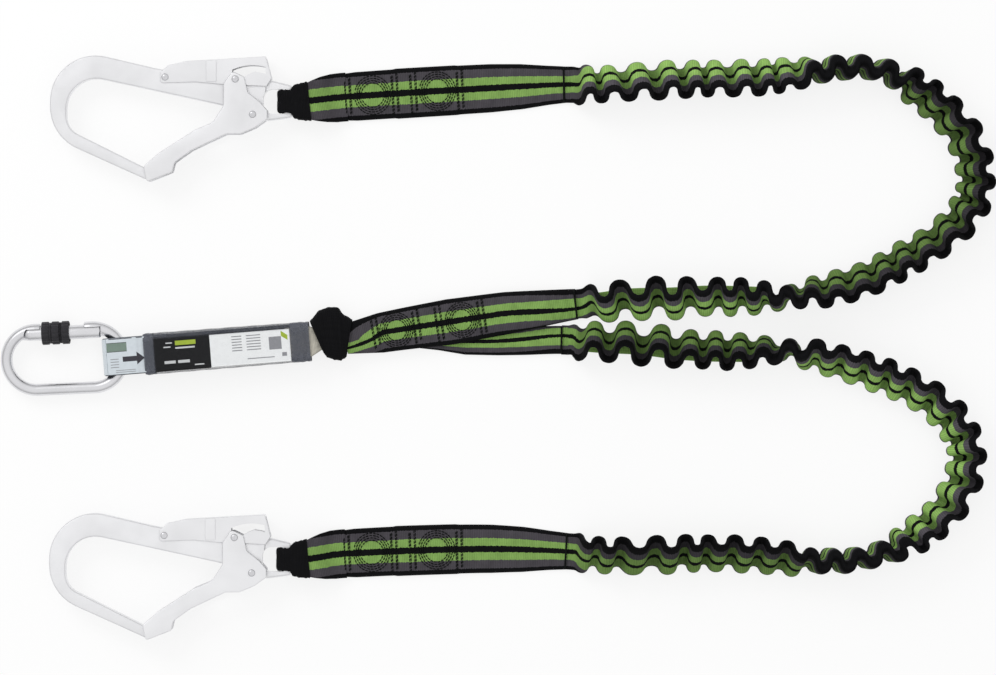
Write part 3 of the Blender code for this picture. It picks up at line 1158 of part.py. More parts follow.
def hook_lever(prefix, axis, pivot):
    whole = slab(rounded(LEVER_OUTLINE, math.radians(25)), -LEVER_OUTER, LEVER_OUTER)
    lever = piece(prefix + "_lever", whole, "zinc_plate", axis, pivot)
    x0, x1 = LEVER_RIB
    raised = LEVER_OUTER + LEVER_RIB_HEIGHT
    rib = helper(prefix + "_lever_rib", block((x0, 0.0168, -raised), (x1, 0.0350, raised)), axis, pivot)
    boolean(lever, rib, "UNION")
    web = [Vector(p) for p in LEVER_WEB]
    under = [p - Vector((0, LEVER_WEB_THICKNESS)) for p in web]
    room = [web[0] + Vector((-0.001, 0.02)), *[Vector(p) for p in under], Vector((0.0, under[-1].y))]
    room += [Vector((0.0, -0.01)), Vector((-0.13, -0.01)), Vector((-0.13, 0.05))]
    room.insert(1, Vector((web[0].x - 0.001, under[0].y)))
    channel = helper(prefix + "_lever_channel", slab(room, -LEVER_INNER, LEVER_INNER), axis, pivot)
    boolean(lever, channel, "DIFFERENCE")
    window = helper(prefix + "_lever_window", slab(lever_window(), -0.02, 0.02), axis, pivot)
    boolean(lever, window, "DIFFERENCE")
    hole = at_point(lathe(rod_profile(LEVER_RIVET_DIAMETER / 2 + PIN_GAP, 0.03), 14), LEVER)
    boolean(lever, helper(prefix + "_lever_pivot_hole", hole, axis, pivot), "DIFFERENCE")


def lever_spring(prefix, axis):
    """A compression spring from the hook's back to the underside of the lever's web."""
    x = LEVER_SPRING_X
    (xa, ya), (xb, yb) = LEVER_WEB[1], LEVER_WEB[2]
    under = ya + (yb - ya) * (x - xa) / (xb - xa) - LEVER_WEB_THICKNESS
    corner, crest = HOOK_BODY_UPPER
    back = corner[1] + (crest[1] - corner[1]) * (x - corner[0]) / (crest[0] - corner[0])
    slope = math.atan2(corner[1] - crest[1], corner[0] - crest[0])
    lean = abs(math.tan(slope)) * LEVER_SPRING_DIAMETER / 2
    low = back + lean + SEAT_GAP + LEVER_SPRING_WIRE / 2
    high = under - SEAT_GAP - LEVER_SPRING_WIRE / 2 - 0.0003
    radius = (LEVER_SPRING_DIAMETER - LEVER_SPRING_WIRE) / 2
    pitch = (high - low) / LEVER_SPRING_TURNS
    print("lever spring, gap between turns in mm:", round((pitch - LEVER_SPRING_WIRE) * 1000, 2))
    turns = coil(radius, pitch, LEVER_SPRING_TURNS)
    upright = Matrix.Translation((x, low, 0)) @ Matrix.Rotation(-math.pi / 2, 4, "X")
    spring = moved(tube(turns, LEVER_SPRING_WIRE, 5), upright)
    piece(prefix + "_lever_spring", spring, "spring_steel", axis, smooth=math.radians(80))


def scaffold_hook(prefix, at, root):
    swing = empty(prefix + "_swing_axis", root, (at[0], at[1], HOOK_HEIGHT))
    hook_body(prefix, swing)
    lever_spring(prefix, swing)
    gate_pivot = Vector((AXIS.x, AXIS.y, 0))
    hook_gate(prefix, empty(prefix + "_gate_axis", swing, gate_pivot), gate_pivot)
    lever_pivot = Vector((LEVER.x, LEVER.y, 0))
    hook_lever(prefix, empty(prefix + "_lever_axis", swing, lever_pivot), lever_pivot)


def main():
    clear_scene()
    root = empty("lanyard", None, (0, 0, 0))
    along = Vector((math.cos(ABSORBER_HEADING), math.sin(ABSORBER_HEADING)))
    middle = Vector(ABSORBER_END_AT) - along * PACK_LENGTH / 2
    absorber = empty("absorber", root, (middle.x, middle.y, 0), (0, 0, ABSORBER_HEADING))
    tear_webbing(absorber)
    absorber_cover(absorber)
    label_cards(absorber)
    front_loop(absorber)
    link(root, rear_loop(absorber))
    karabiner(root, absorber)
    fork(root)
    for leg, hook, at, section, route, fork_route in (
        ("leg_a", "hook_a", HOOK_A_AT, SECTION_A, ELASTIC_A, FORK_A),
        ("leg_b", "hook_b", HOOK_B_AT, SECTION_B, ELASTIC_B, FORK_B),
    ):
        scaffold_hook(hook, at, root)
        hook_loop(leg, at, section, HOOK_HEIGHT, root)
        hook_section(leg + "_hook_section", section, route[1], root)
        length = elastic_leg(leg + "_elastic", route, section[-2], fork_route[1], root)
        print(leg, "elastic, relaxed length in m:", round(length, 3))


main()
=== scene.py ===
# Elastic shock absorbing lanyard with twin legs, laid flat and seen from above.
import json

import bmesh
import bpy
import numpy as np
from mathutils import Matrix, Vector


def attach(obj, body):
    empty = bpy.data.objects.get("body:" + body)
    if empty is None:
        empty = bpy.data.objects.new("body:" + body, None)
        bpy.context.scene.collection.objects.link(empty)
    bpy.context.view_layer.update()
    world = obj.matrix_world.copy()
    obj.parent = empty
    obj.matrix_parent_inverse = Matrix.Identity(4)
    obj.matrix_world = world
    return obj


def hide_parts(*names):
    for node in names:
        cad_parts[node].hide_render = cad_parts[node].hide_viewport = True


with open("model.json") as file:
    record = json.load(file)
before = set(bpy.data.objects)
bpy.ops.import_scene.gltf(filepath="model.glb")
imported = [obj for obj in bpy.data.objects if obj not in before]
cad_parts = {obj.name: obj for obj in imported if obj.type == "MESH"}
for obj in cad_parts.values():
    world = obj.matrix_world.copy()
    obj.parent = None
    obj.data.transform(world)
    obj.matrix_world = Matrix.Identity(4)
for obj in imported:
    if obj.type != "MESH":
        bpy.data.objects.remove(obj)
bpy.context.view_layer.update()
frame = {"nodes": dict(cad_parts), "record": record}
homeOf = {node: body for body, nodes in frame["record"]["behaviour"]["bodies"].items() for node in nodes}
mm = 0.001


# Colour and material helpers


def linearColour(hexCode):
    # sRGB channel c becomes c / 12.92 below 0.04045, and ((c + 0.055) / 1.055) to the power 2.4 above it
    srgb = np.array([int(hexCode[i : i + 2], 16) for i in (1, 3, 5)]) / 255
    linear = np.where(srgb <= 0.04045, srgb / 12.92, ((srgb + 0.055) / 1.055) ** 2.4)
    return (*[float(c) for c in linear], 1.0)


def addNode(tree, kind, settings=None, links=None):
    node = tree.nodes.new(kind)
    for key, value in (settings or {}).items():
        if isinstance(key, str) and hasattr(node, key):
            setattr(node, key, value)
        else:
            node.inputs[key].default_value = value
    for key, source in (links or {}).items():
        tree.links.new(source, node.inputs[key])
    return node


def newMaterial(name, hexCode, roughness, metallic=0.0, sockets=None):
    material = bpy.data.materials.new(name)
    material.use_nodes = True
    tree = material.node_tree
    shader = tree.nodes["Principled BSDF"]
    shader.inputs["Base Color"].default_value = linearColour(hexCode)
    shader.inputs["Roughness"].default_value = roughness
    shader.inputs["Metallic"].default_value = metallic
    for key, value in (sockets or {}).items():
        shader.inputs[key].default_value = value
    return material, tree, shader


def addBump(tree, shader, height, strength, distance):
    bump = addNode(tree, "ShaderNodeBump", {"Strength": strength, "Distance": distance}, {"Height": height})
    tree.links.new(bump.outputs["Normal"], shader.inputs["Normal"])


def mapRange(tree, value, low, high, toLow, toHigh):
    settings = {"From Min": low, "From Max": high, "To Min": toLow, "To Max": toHigh}
    return addNode(tree, "ShaderNodeMapRange", settings, {"Value": value}).outputs[0]


def maths(tree, operation, first, second):
    # either side may be a number or another node's output
    node = addNode(tree, "ShaderNodeMath", {"operation": operation})
    for socket, value in zip(node.inputs, (first, second)):
        if isinstance(value, (int, float)):
            socket.default_value = value
        else:
            tree.links.new(value, socket)
    return node.outputs[0]


def noise(tree, vector, scale, detail, distortion=0.0):
    settings = {"Scale": scale, "Detail": detail, "Distortion": distortion}
    return addNode(tree, "ShaderNodeTexNoise", settings, {"Vector": vector}).outputs["Fac"]


def noiseBetween(tree, value, low, high):
    # most of a noise's values lie from 0.3 to 0.7, and these come out as low to high
    return mapRange(tree, value, 0.3, 0.7, low, high)


def tintBase(tree, shader, colour, shade):
    # the base colour is a hex code, or a node's output, times a shade
    tint = addNode(tree, "ShaderNodeVectorMath", {"operation": "SCALE"}, {"Scale": shade})
    if isinstance(colour, str):
        tint.inputs[0].default_value = linearColour(colour)[:3]
    else:
        tree.links.new(colour, tint.inputs[0])
    tree.links.new(tint.outputs[0], shader.inputs["Base Color"])


def waveScale(period):
    # a wave texture repeats every 2 pi / 20 units at scale 1
    return 2 * np.pi / 20 / period


# Mesh helpers


def meshPiece(name, points, faces, material, along=None, across=None, smooth=True):
    # along and across are metres on the flat piece, and become its own UV map
    mesh = bpy.data.meshes.new(name)
    mesh.from_pydata(np.asarray(points, float).tolist(), [], [list(map(int, face)) for face in faces])
    mesh.polygons.foreach_set("use_smooth", np.full(len(mesh.polygons), smooth))
    if along is not None:
        corners = np.zeros(len(mesh.loops), np.int32)
        mesh.loops.foreach_get("vertex_index", corners)
        uv = np.stack([np.ravel(along)[corners], np.ravel(across)[corners]], axis=1)
        mesh.uv_layers.new(name="flat").data.foreach_set("uv", uv.astype(np.float32).ravel())
    mesh.materials.append(material)
    obj = bpy.data.objects.new(name, mesh)
    bpy.context.scene.collection.objects.link(obj)
    return obj


def gridFaces(rows, columns, closedAcross, closedAlong=False):
    # quads of a grid numbered row by row
    r = np.arange(rows if closedAlong else rows - 1)[:, None]
    c = np.arange(columns if closedAcross else columns - 1)[None, :]
    nextRow, nextColumn = (r + 1) % rows, (c + 1) % columns
    low, high = r * columns, nextRow * columns
    corners = [low + c, low + nextColumn, high + nextColumn, high + c]
    return np.stack([np.broadcast_to(corner, (len(r), c.shape[1])).ravel() for corner in corners], axis=1)


def ringPiece(name, grid, material, along=None, across=None, closedAlong=False):
    # a closed skin through rings of points. Its two ends are flat faces, unless the last ring meets the
    # first. along has a value for each ring, and across one for each point.
    rows, columns = grid.shape[:2]
    faces = gridFaces(rows, columns, True, closedAlong).tolist()
    if not closedAlong:
        faces.append(list(range(columns))[::-1])
        faces.append(list(range((rows - 1) * columns, rows * columns)))
    if along is not None:
        along = np.broadcast_to(along[:, None], (rows, columns))
        across = np.broadcast_to(across, (rows, columns))
    obj = meshPiece(name, grid.reshape(-1, 3), faces, material, along, across)
    faceOutwards(obj)
    return obj


def closeRings(top, bottom):
    # each row of the top, then the same row of the bottom backwards, without the two ends that they share
    return np.concatenate([top, bottom[:, -2:0:-1]], axis=1)


def pointValues(obj, name, values):
    # the piece's own attribute, which its material reads
    layer = obj.data.attributes.new(name, "FLOAT", "POINT")
    layer.data.foreach_set("value", values.astype(np.float32).ravel())


def faceOutwards(obj):
    work = bmesh.new()
    work.from_mesh(obj.data)
    bmesh.ops.recalc_face_normals(work, faces=work.faces)
    work.to_mesh(obj.data)
    work.free()


def settle(obj, slot, *nodes, body=None):
    # the piece takes the place of its nodes, and moves with their body
    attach(obj, body or homeOf[nodes[0]])
    if nodes:
        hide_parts(*nodes)
    return obj


def unit(vectors):
    return vectors / np.maximum(np.linalg.norm(vectors, axis=-1, keepdims=True), 1e-12)


def ease(t):
    # t t (3 - 2 t), from 0 to 1
    t = np.clip(t, 0.0, 1.0)
    return t * t * (3 - 2 * t)


def easeFrom(values, start, over):
    return ease((values - start) / over)


def fullTurn(count):
    # angles at equal steps round a circle
    return 2 * np.pi * np.arange(count) / count


def ripples(run, pitch, bend):
    # sin(2 pi run / pitch + bend): waves along the run, whose bend varies across it
    return np.sin(2 * np.pi * run / pitch + bend)


def leftOf(ahead):
    return np.stack([-ahead[:, 1], ahead[:, 0]], axis=1)


def smoothRoute(points, count, before=None, after=None):
    # a cubic through each point, whose slope there is half the step between its neighbours,
    # read at equal steps
    knots = np.array(points, float)
    first = 2 * knots[0] - knots[1] if before is None else np.array(before)
    last = 2 * knots[-1] - knots[-2] if after is None else np.array(after)
    knots = np.vstack([first, knots, last])
    a, b, c, d = (knots[i : len(knots) - 3 + i, None, :] for i in range(4))
    finePerSpan = 40
    t = np.linspace(0, 1, finePerSpan, endpoint=False)[None, :, None]
    fine = 0.5 * (2 * b + (c - a) * t + (2 * a - 5 * b + 4 * c - d) * t**2 + (3 * b - a - 3 * c + d) * t**3)
    fine = np.vstack([fine.reshape(-1, knots.shape[1]), knots[-2]])
    run = routeRun(fine)
    wanted = np.linspace(0, run[-1], count)
    route = np.stack([np.interp(wanted, run, fine[:, k]) for k in range(fine.shape[1])], axis=1)
    ahead = np.gradient(route, axis=0)
    ahead[0], ahead[-1] = knots[2] - first, last - knots[-3]
    return route, unit(ahead), run[-1]


def routeRun(points):
    return np.concatenate([[0], np.cumsum(np.linalg.norm(np.diff(points, axis=0), axis=1))])


def flat3(plan, height=0.0):
    return np.concatenate([plan, np.full(plan.shape[:-1] + (1,), 1.0) * height], axis=-1)


# Camera and stage: the photograph looks straight down, and one of its pixels is 0.85 mm on the object.

view = {
    "lens": 150.0,
    "sensor": 36.0,
    "pixel": 0.85 * mm,
    "width": 996,
    # pixels of the photograph's middle, and of the lanyard's origin
    "centre": (498.0, 337.5),
    "originPixel": (496.5, 345.5),
    "above": 12 * mm,  # the height at which the scale holds
}


def makeCamera():
    data = bpy.data.cameras.new("camera")
    data.lens = view["lens"]
    data.sensor_width = view["sensor"]
    camera = bpy.data.objects.new("camera", data)
    bpy.context.scene.collection.objects.link(camera)
    reach = view["pixel"] * view["width"] / 2 * data.lens / (data.sensor_width / 2)
    x = (view["centre"][0] - view["originPixel"][0]) * view["pixel"]
    y = (view["originPixel"][1] - view["centre"][1]) * view["pixel"]
    camera.location = (x, y, reach + view["above"])
    bpy.context.scene.camera = camera


stage = {
    "floorSize": 8.0,
    "floorDrop": 0.2 * mm,
    "whiteShare": 0.80,
    "softLampAt": (-0.42, 0.5, 0.76),
    "softLampShine": 0.9,
    # cosines of the angles at which the soft lamp fades out and is full
    "softLampEdge": (0.95, 0.985),
    "skyTop": 0.92,
    "skySide": 0.42,
    "skyRise": (0.05, 0.8),
    "keyPower": 30.0,
    "keySize": 1.4,
    "keyAt": (-1.7, 1.9, 1.55),
}


def makeStage():
    # floor: plain white, shown nearly as bright as paper to the camera and in reflections, with a soft shadow
    material = bpy.data.materials.new("white_paper")
    material.use_nodes = True
    tree = material.node_tree
    tree.nodes.clear()
    ray = addNode(tree, "ShaderNodeLightPath")
    seen = maths(tree, "MAXIMUM", ray.outputs["Is Camera Ray"], ray.outputs["Is Glossy Ray"])
    seen = maths(tree, "MAXIMUM", seen, ray.outputs["Is Transmission Ray"])
    share = maths(tree, "MULTIPLY", seen, stage["whiteShare"])
    paper = addNode(tree, "ShaderNodeBsdfDiffuse", {"Color": linearColour("#fafafa")})
    bright = addNode(tree, "ShaderNodeEmission", {"Strength": 1.0})
    mix = addNode(tree, "ShaderNodeMixShader", None, {0: share, 1: paper.outputs[0], 2: bright.outputs[0]})
    addNode(tree, "ShaderNodeOutputMaterial", None, {"Surface": mix.outputs[0]})
    half = stage["floorSize"] / 2
    corners = np.array([(-half, -half, 0), (half, -half, 0), (half, half, 0), (-half, half, 0)])
    floor = meshPiece("floor", corners - (0, 0, stage["floorDrop"]), [(0, 1, 2, 3)], material, smooth=False)

    # sky: white overhead, greyer at the side, so that edges of bright metal turn grey
    world = bpy.data.worlds.new("studio")
    bpy.context.scene.world = world
    world.use_nodes = True
    tree = world.node_tree
    tree.nodes.clear()
    place = addNode(tree, "ShaderNodeTexCoord")
    split = addNode(tree, "ShaderNodeSeparateXYZ", None, {0: place.outputs["Generated"]})
    rise = mapRange(tree, split.outputs["Z"], *stage["skyRise"], stage["skySide"], stage["skyTop"])
    ray = addNode(tree, "ShaderNodeLightPath")
    # a soft lamp, high on the left, that only polished metal and film show
    settings = {"operation": "DOT_PRODUCT", 1: unit(np.array(stage["softLampAt"]))}
    toLamp = addNode(tree, "ShaderNodeVectorMath", settings, {0: place.outputs["Generated"]})
    glint = mapRange(tree, toLamp.outputs["Value"], *stage["softLampEdge"], 0, stage["softLampShine"])
    rise = maths(tree, "ADD", rise, maths(tree, "MULTIPLY", glint, ray.outputs["Is Glossy Ray"]))
    strength = maths(tree, "MAXIMUM", rise, ray.outputs["Is Camera Ray"])
    sky = addNode(tree, "ShaderNodeBackground", {"Color": (1, 1, 1, 1)}, {"Strength": strength})
    addNode(tree, "ShaderNodeOutputWorld", None, {"Surface": sky.outputs[0]})

    # key: one large soft lamp from the upper left of the picture
    data = bpy.data.lights.new("key", "AREA")
    data.energy = stage["keyPower"]
    data.size = stage["keySize"]
    lamp = bpy.data.objects.new("key", data)
    # kept out of reflections, where its square would burn white spots into the plated steel
    lamp.visible_glossy = False
    lamp.location = stage["keyAt"]
    lamp.rotation_euler = (-Vector(lamp.location)).to_track_quat("-Z", "Y").to_euler()
    bpy.context.scene.collection.objects.link(lamp)
    bpy.context.scene.view_settings.view_transform = "Standard"


makeCamera()
makeStage()
print("stage ready")


# Materials

webbing = {
    "green": "#83a85a",
    "grey": "#4b484d",
    "black": "#0e0e10",
    # where the stripes' edges lie on the flat webbing, as shares of half its width from one edge to the other
    "edges": (-1.0, -0.80, -0.45, -0.13, 0.13, 0.45, 0.80, 1.0),
    "pick": 1.5 * mm,  # a real pick is about 0.7 mm: drawn at twice that, so that it shows
    "halfWidth": 21 * mm,
    "yarnShare": 0.8,  # a warp yarn's width in picks
    "yarnMix": 0.35,
    "waver": 0.018,
}
matt = {"Specular IOR Level": 0.10}  # a rough yarn shades its own highlights


def weaveHeight(tree, vector, pick):
    # picks run across and warp yarns along: the mix of two bands stands for the raised yarns

    def bands(direction, period, settings):
        wave = {"wave_type": "BANDS", "bands_direction": direction, "Scale": waveScale(period)}
        return addNode(tree, "ShaderNodeTexWave", wave | settings, {"Vector": vector}).outputs["Fac"]

    picks = bands("X", pick, {"Distortion": 0.8, "Detail Scale": 3.0})
    yarns = bands("Y", pick * webbing["yarnShare"], {"Distortion": 0.4})
    settings = {"data_type": "FLOAT", 0: webbing["yarnMix"]}
    return addNode(tree, "ShaderNodeMix", settings, {2: picks, 3: yarns}).outputs[0]


def stripedWebbing():
    # woven polyester webbing: matt, with ribs across it and a soft sheen; its stripes are dyed warp yarns.
    # The piece's own attribute "hollow" paints shade into its folds and a painted highlight onto its raised
    # parts.
    material, tree, shader = newMaterial("woven_polyester_striped", webbing["green"], 0.85, 0, matt)
    flat = addNode(tree, "ShaderNodeUVMap", {"uv_map": "flat"}).outputs[0]
    split = addNode(tree, "ShaderNodeSeparateXYZ", None, {0: flat})
    # the stripes' edges waver by a yarn or so
    offset = noiseBetween(tree, noise(tree, flat, 900.0, 1.0), -webbing["waver"], webbing["waver"])
    share = maths(tree, "DIVIDE", maths(tree, "ABSOLUTE", split.outputs["Y"], 0.0), webbing["halfWidth"])
    ramp = addNode(tree, "ShaderNodeValToRGB", None, {"Fac": maths(tree, "ADD", share, offset)})
    ramp.color_ramp.interpolation = "CONSTANT"
    places = (0.0, *webbing["edges"][4:7])
    elements = ramp.color_ramp.elements
    while len(elements) < len(places):
        elements.new(0.5)
    for element, place, colour in zip(elements, places, ("black", "green", "grey", "black")):
        element.position = place
        element.color = linearColour(webbing[colour])
    weave = weaveHeight(tree, flat, webbing["pick"])
    # painted shade darkens the hollows between the picks, the yarns' dye is a little uneven, and the
    # attribute "hollow" paints shade into deep folds
    shade = mapRange(tree, weave, 0.0, 1.0, 0.72, 1.12)
    shade = maths(tree, "MULTIPLY", shade, noiseBetween(tree, noise(tree, flat, 90.0, 4.0), 0.86, 1.12))
    # the attribute "hollow" is painted shade: above 0 darker, below 0 a painted highlight
    hollow = addNode(tree, "ShaderNodeAttribute", {"attribute_name": "hollow"})
    shade = maths(tree, "MULTIPLY", shade, mapRange(tree, hollow.outputs["Fac"], -0.5, 1.0, 1.35, 0.30))
    tintBase(tree, shader, ramp.outputs["Color"], shade)
    addBump(tree, shader, weave, 0.6, 0.25 * mm)
    return material


def plainFabric(name, hexCode, pick, roughness=0.85):
    # plain woven yarn of one colour: matt, with fine ribs
    material, tree, shader = newMaterial(name, hexCode, roughness, 0, matt)
    flat = addNode(tree, "ShaderNodeUVMap", {"uv_map": "flat"}).outputs[0]
    weave = weaveHeight(tree, flat, pick)
    # painted shade darkens the hollows between the picks, and the yarn's tone varies a little at random
    shade = mapRange(tree, weave, 0.0, 1.0, 0.7, 1.2)
    shade = maths(tree, "MULTIPLY", shade, noiseBetween(tree, noise(tree, flat, 120.0, 3.0), 0.85, 1.15))
    tintBase(tree, shader, hexCode, shade)
    addBump(tree, shader, weave, 0.5, 0.2 * mm)
    return material


def platedSteel(name, hexCode, roughness, grain, strength):
    # zinc plated steel: bright and satin, with the faint unevenness and handling marks of tumbled metal
    material, tree, shader = newMaterial(name, hexCode, roughness, 1.0)
    place = addNode(tree, "ShaderNodeTexCoord").outputs["Object"]
    coarse = noise(tree, place, 1 / grain, 4.0)
    rough = noiseBetween(tree, coarse, roughness * 0.85, roughness * 1.2)
    tree.links.new(rough, shader.inputs["Roughness"])
    tintBase(tree, shader, hexCode, noiseBetween(tree, noise(tree, place, 0.3 / grain, 2.0), 0.94, 1.03))
    addBump(tree, shader, coarse, strength, 0.1 * mm)
    return material


def speckled(name, hexCode, roughness, grain, low, high, strength, sockets=None):
    # a moulded, coated or printed surface of one colour, with fine speckle in tone and height
    material, tree, shader = newMaterial(name, hexCode, roughness, 0, sockets)
    place = addNode(tree, "ShaderNodeTexCoord").outputs["Object"]
    fine = noise(tree, place, 1 / grain, 3.0)
    tintBase(tree, shader, hexCode, noiseBetween(tree, fine, low, high))
    addBump(tree, shader, fine, strength, 0.1 * mm)
    return material


def shrunkFilm():
    # clear PVC shrunk on the pack: glossy and nearly clear where it is stretched, grey where it is gathered,
    # which the piece's own attribute "haze" gives
    material, tree, shader = newMaterial("shrunk_pvc_film", "#5a5d66", 0.20, 0, {"Specular IOR Level": 0.35})
    haze = addNode(tree, "ShaderNodeAttribute", {"attribute_name": "haze"})
    crease = noise(tree, addNode(tree, "ShaderNodeTexCoord").outputs["Object"], 260.0, 4.0, 1.2)
    streak = mapRange(tree, crease, 0.35, 0.65, 0.86, 1.12)
    alpha = mapRange(tree, haze.outputs["Fac"], 0.0, 1.0, 0.02, 0.84)
    tree.links.new(maths(tree, "MULTIPLY", alpha, streak), shader.inputs["Alpha"])
    addBump(tree, shader, crease, 0.25, 0.3 * mm)
    return material


dullCard = {"Specular IOR Level": 0.2}
dullNylon = {"Specular IOR Level": 0.3}
finishes = {
    "striped": stripedWebbing(),
    "blackWebbing": plainFabric("woven_polyester_black", "#121214", 1.3 * mm),
    "sleeveFabric": plainFabric("woven_nylon_sleeve", "#0f0f11", 1.2 * mm, 0.8),
    "greyWebbing": plainFabric("woven_polyester_grey", "#5d6168", 1.3 * mm),
    "creamWebbing": plainFabric("woven_polyester_undyed", "#bdb9ad", 1.3 * mm),
    # bonded thread: twisted, waxed and nearly black
    "thread": speckled("bonded_polyester_thread", "#101211", 0.7, 0.5 * mm, 0.7, 1.3, 0.3, matt),
    "hookSteel": platedSteel("zinc_plated_forged_steel", "#f2f2f4", 0.42, 9 * mm, 0.02),
    "sheetSteel": platedSteel("zinc_plated_pressed_sheet", "#f2f2f4", 0.38, 12 * mm, 0.015),
    "karabinerSteel": platedSteel("zinc_plated_drawn_steel", "#e2e2e5", 0.24, 10 * mm, 0.02),
    "rivetSteel": platedSteel("zinc_plated_rivet", "#d9d9dc", 0.18, 2 * mm, 0.03),
    "springSteel": platedSteel("drawn_spring_wire", "#8c8d91", 0.3, 2 * mm, 0.02),
    # laminated tag: printed paper under a satin film
    "tagFilm": speckled("laminated_tag", "#ced6dc", 0.35, 3 * mm, 0.96, 1.03, 0.05),
    "tagGreen": speckled("printed_ink_green", "#74867b", 0.4, 2 * mm, 0.92, 1.05, 0.03),
    "tagDark": speckled("printed_ink_dark", "#2b2933", 0.4, 2 * mm, 0.9, 1.1, 0.03),
    "film": shrunkFilm(),
    "blackCard": speckled("printed_card_black", "#0c0c0e", 0.35, 2 * mm, 0.85, 1.15, 0.05, dullCard),
    "whiteCard": speckled("printed_card_white", "#eef0f1", 0.4, 4 * mm, 0.97, 1.02, 0.04),
    "inkLime": speckled("printed_ink_lime", "#9fb52c", 0.4, 2 * mm, 0.92, 1.05, 0.03),
    "inkWhite": speckled("printed_ink_white", "#c9cbcd", 0.4, 2 * mm, 0.92, 1.05, 0.03),
    "inkGrey": speckled("printed_ink_grey", "#8c8d92", 0.4, 2 * mm, 0.92, 1.05, 0.03),
    # moulded nylon grip: dull black, slightly grained by the mould
    "gripPlastic": speckled("moulded_nylon", "#262529", 0.5, 0.9 * mm, 0.8, 1.2, 0.25, dullNylon),
}
print("materials ready")


# Tapes: the section that every flat strap is swept with


def tapeSection(flatCount=15, roundCount=5):
    # a flat tape with half-round edges: x = u (half width - r) + c r and y = s r, for half its thickness r
    flat = np.linspace(-1, 1, flatCount)
    turn = np.linspace(-np.pi / 2, np.pi / 2, roundCount + 2)[1:-1]
    u = np.concatenate([np.ones(roundCount), flat[::-1], -np.ones(roundCount), flat])
    c = np.concatenate([np.cos(turn), np.zeros(flatCount), -np.cos(turn), np.zeros(flatCount)])
    s = np.concatenate([np.sin(turn), np.ones(flatCount), -np.sin(turn), -np.ones(flatCount)])
    return u, c, s


def sweepTape(centres, across, up, widths, thickness):
    # a ring of the tape's section at each centre, and each of its points' share of the half width
    u, c, s = tapeSection()
    r = np.broadcast_to(np.asarray(thickness) / 2, widths.shape)[:, None]
    half = widths[:, None] / 2
    x = u * (half - r) + c * r
    grid = centres[:, None, :] + across[:, None, :] * x[..., None] + up[:, None, :] * (s * r)[..., None]
    return grid, x / half


# Gathered elastic legs

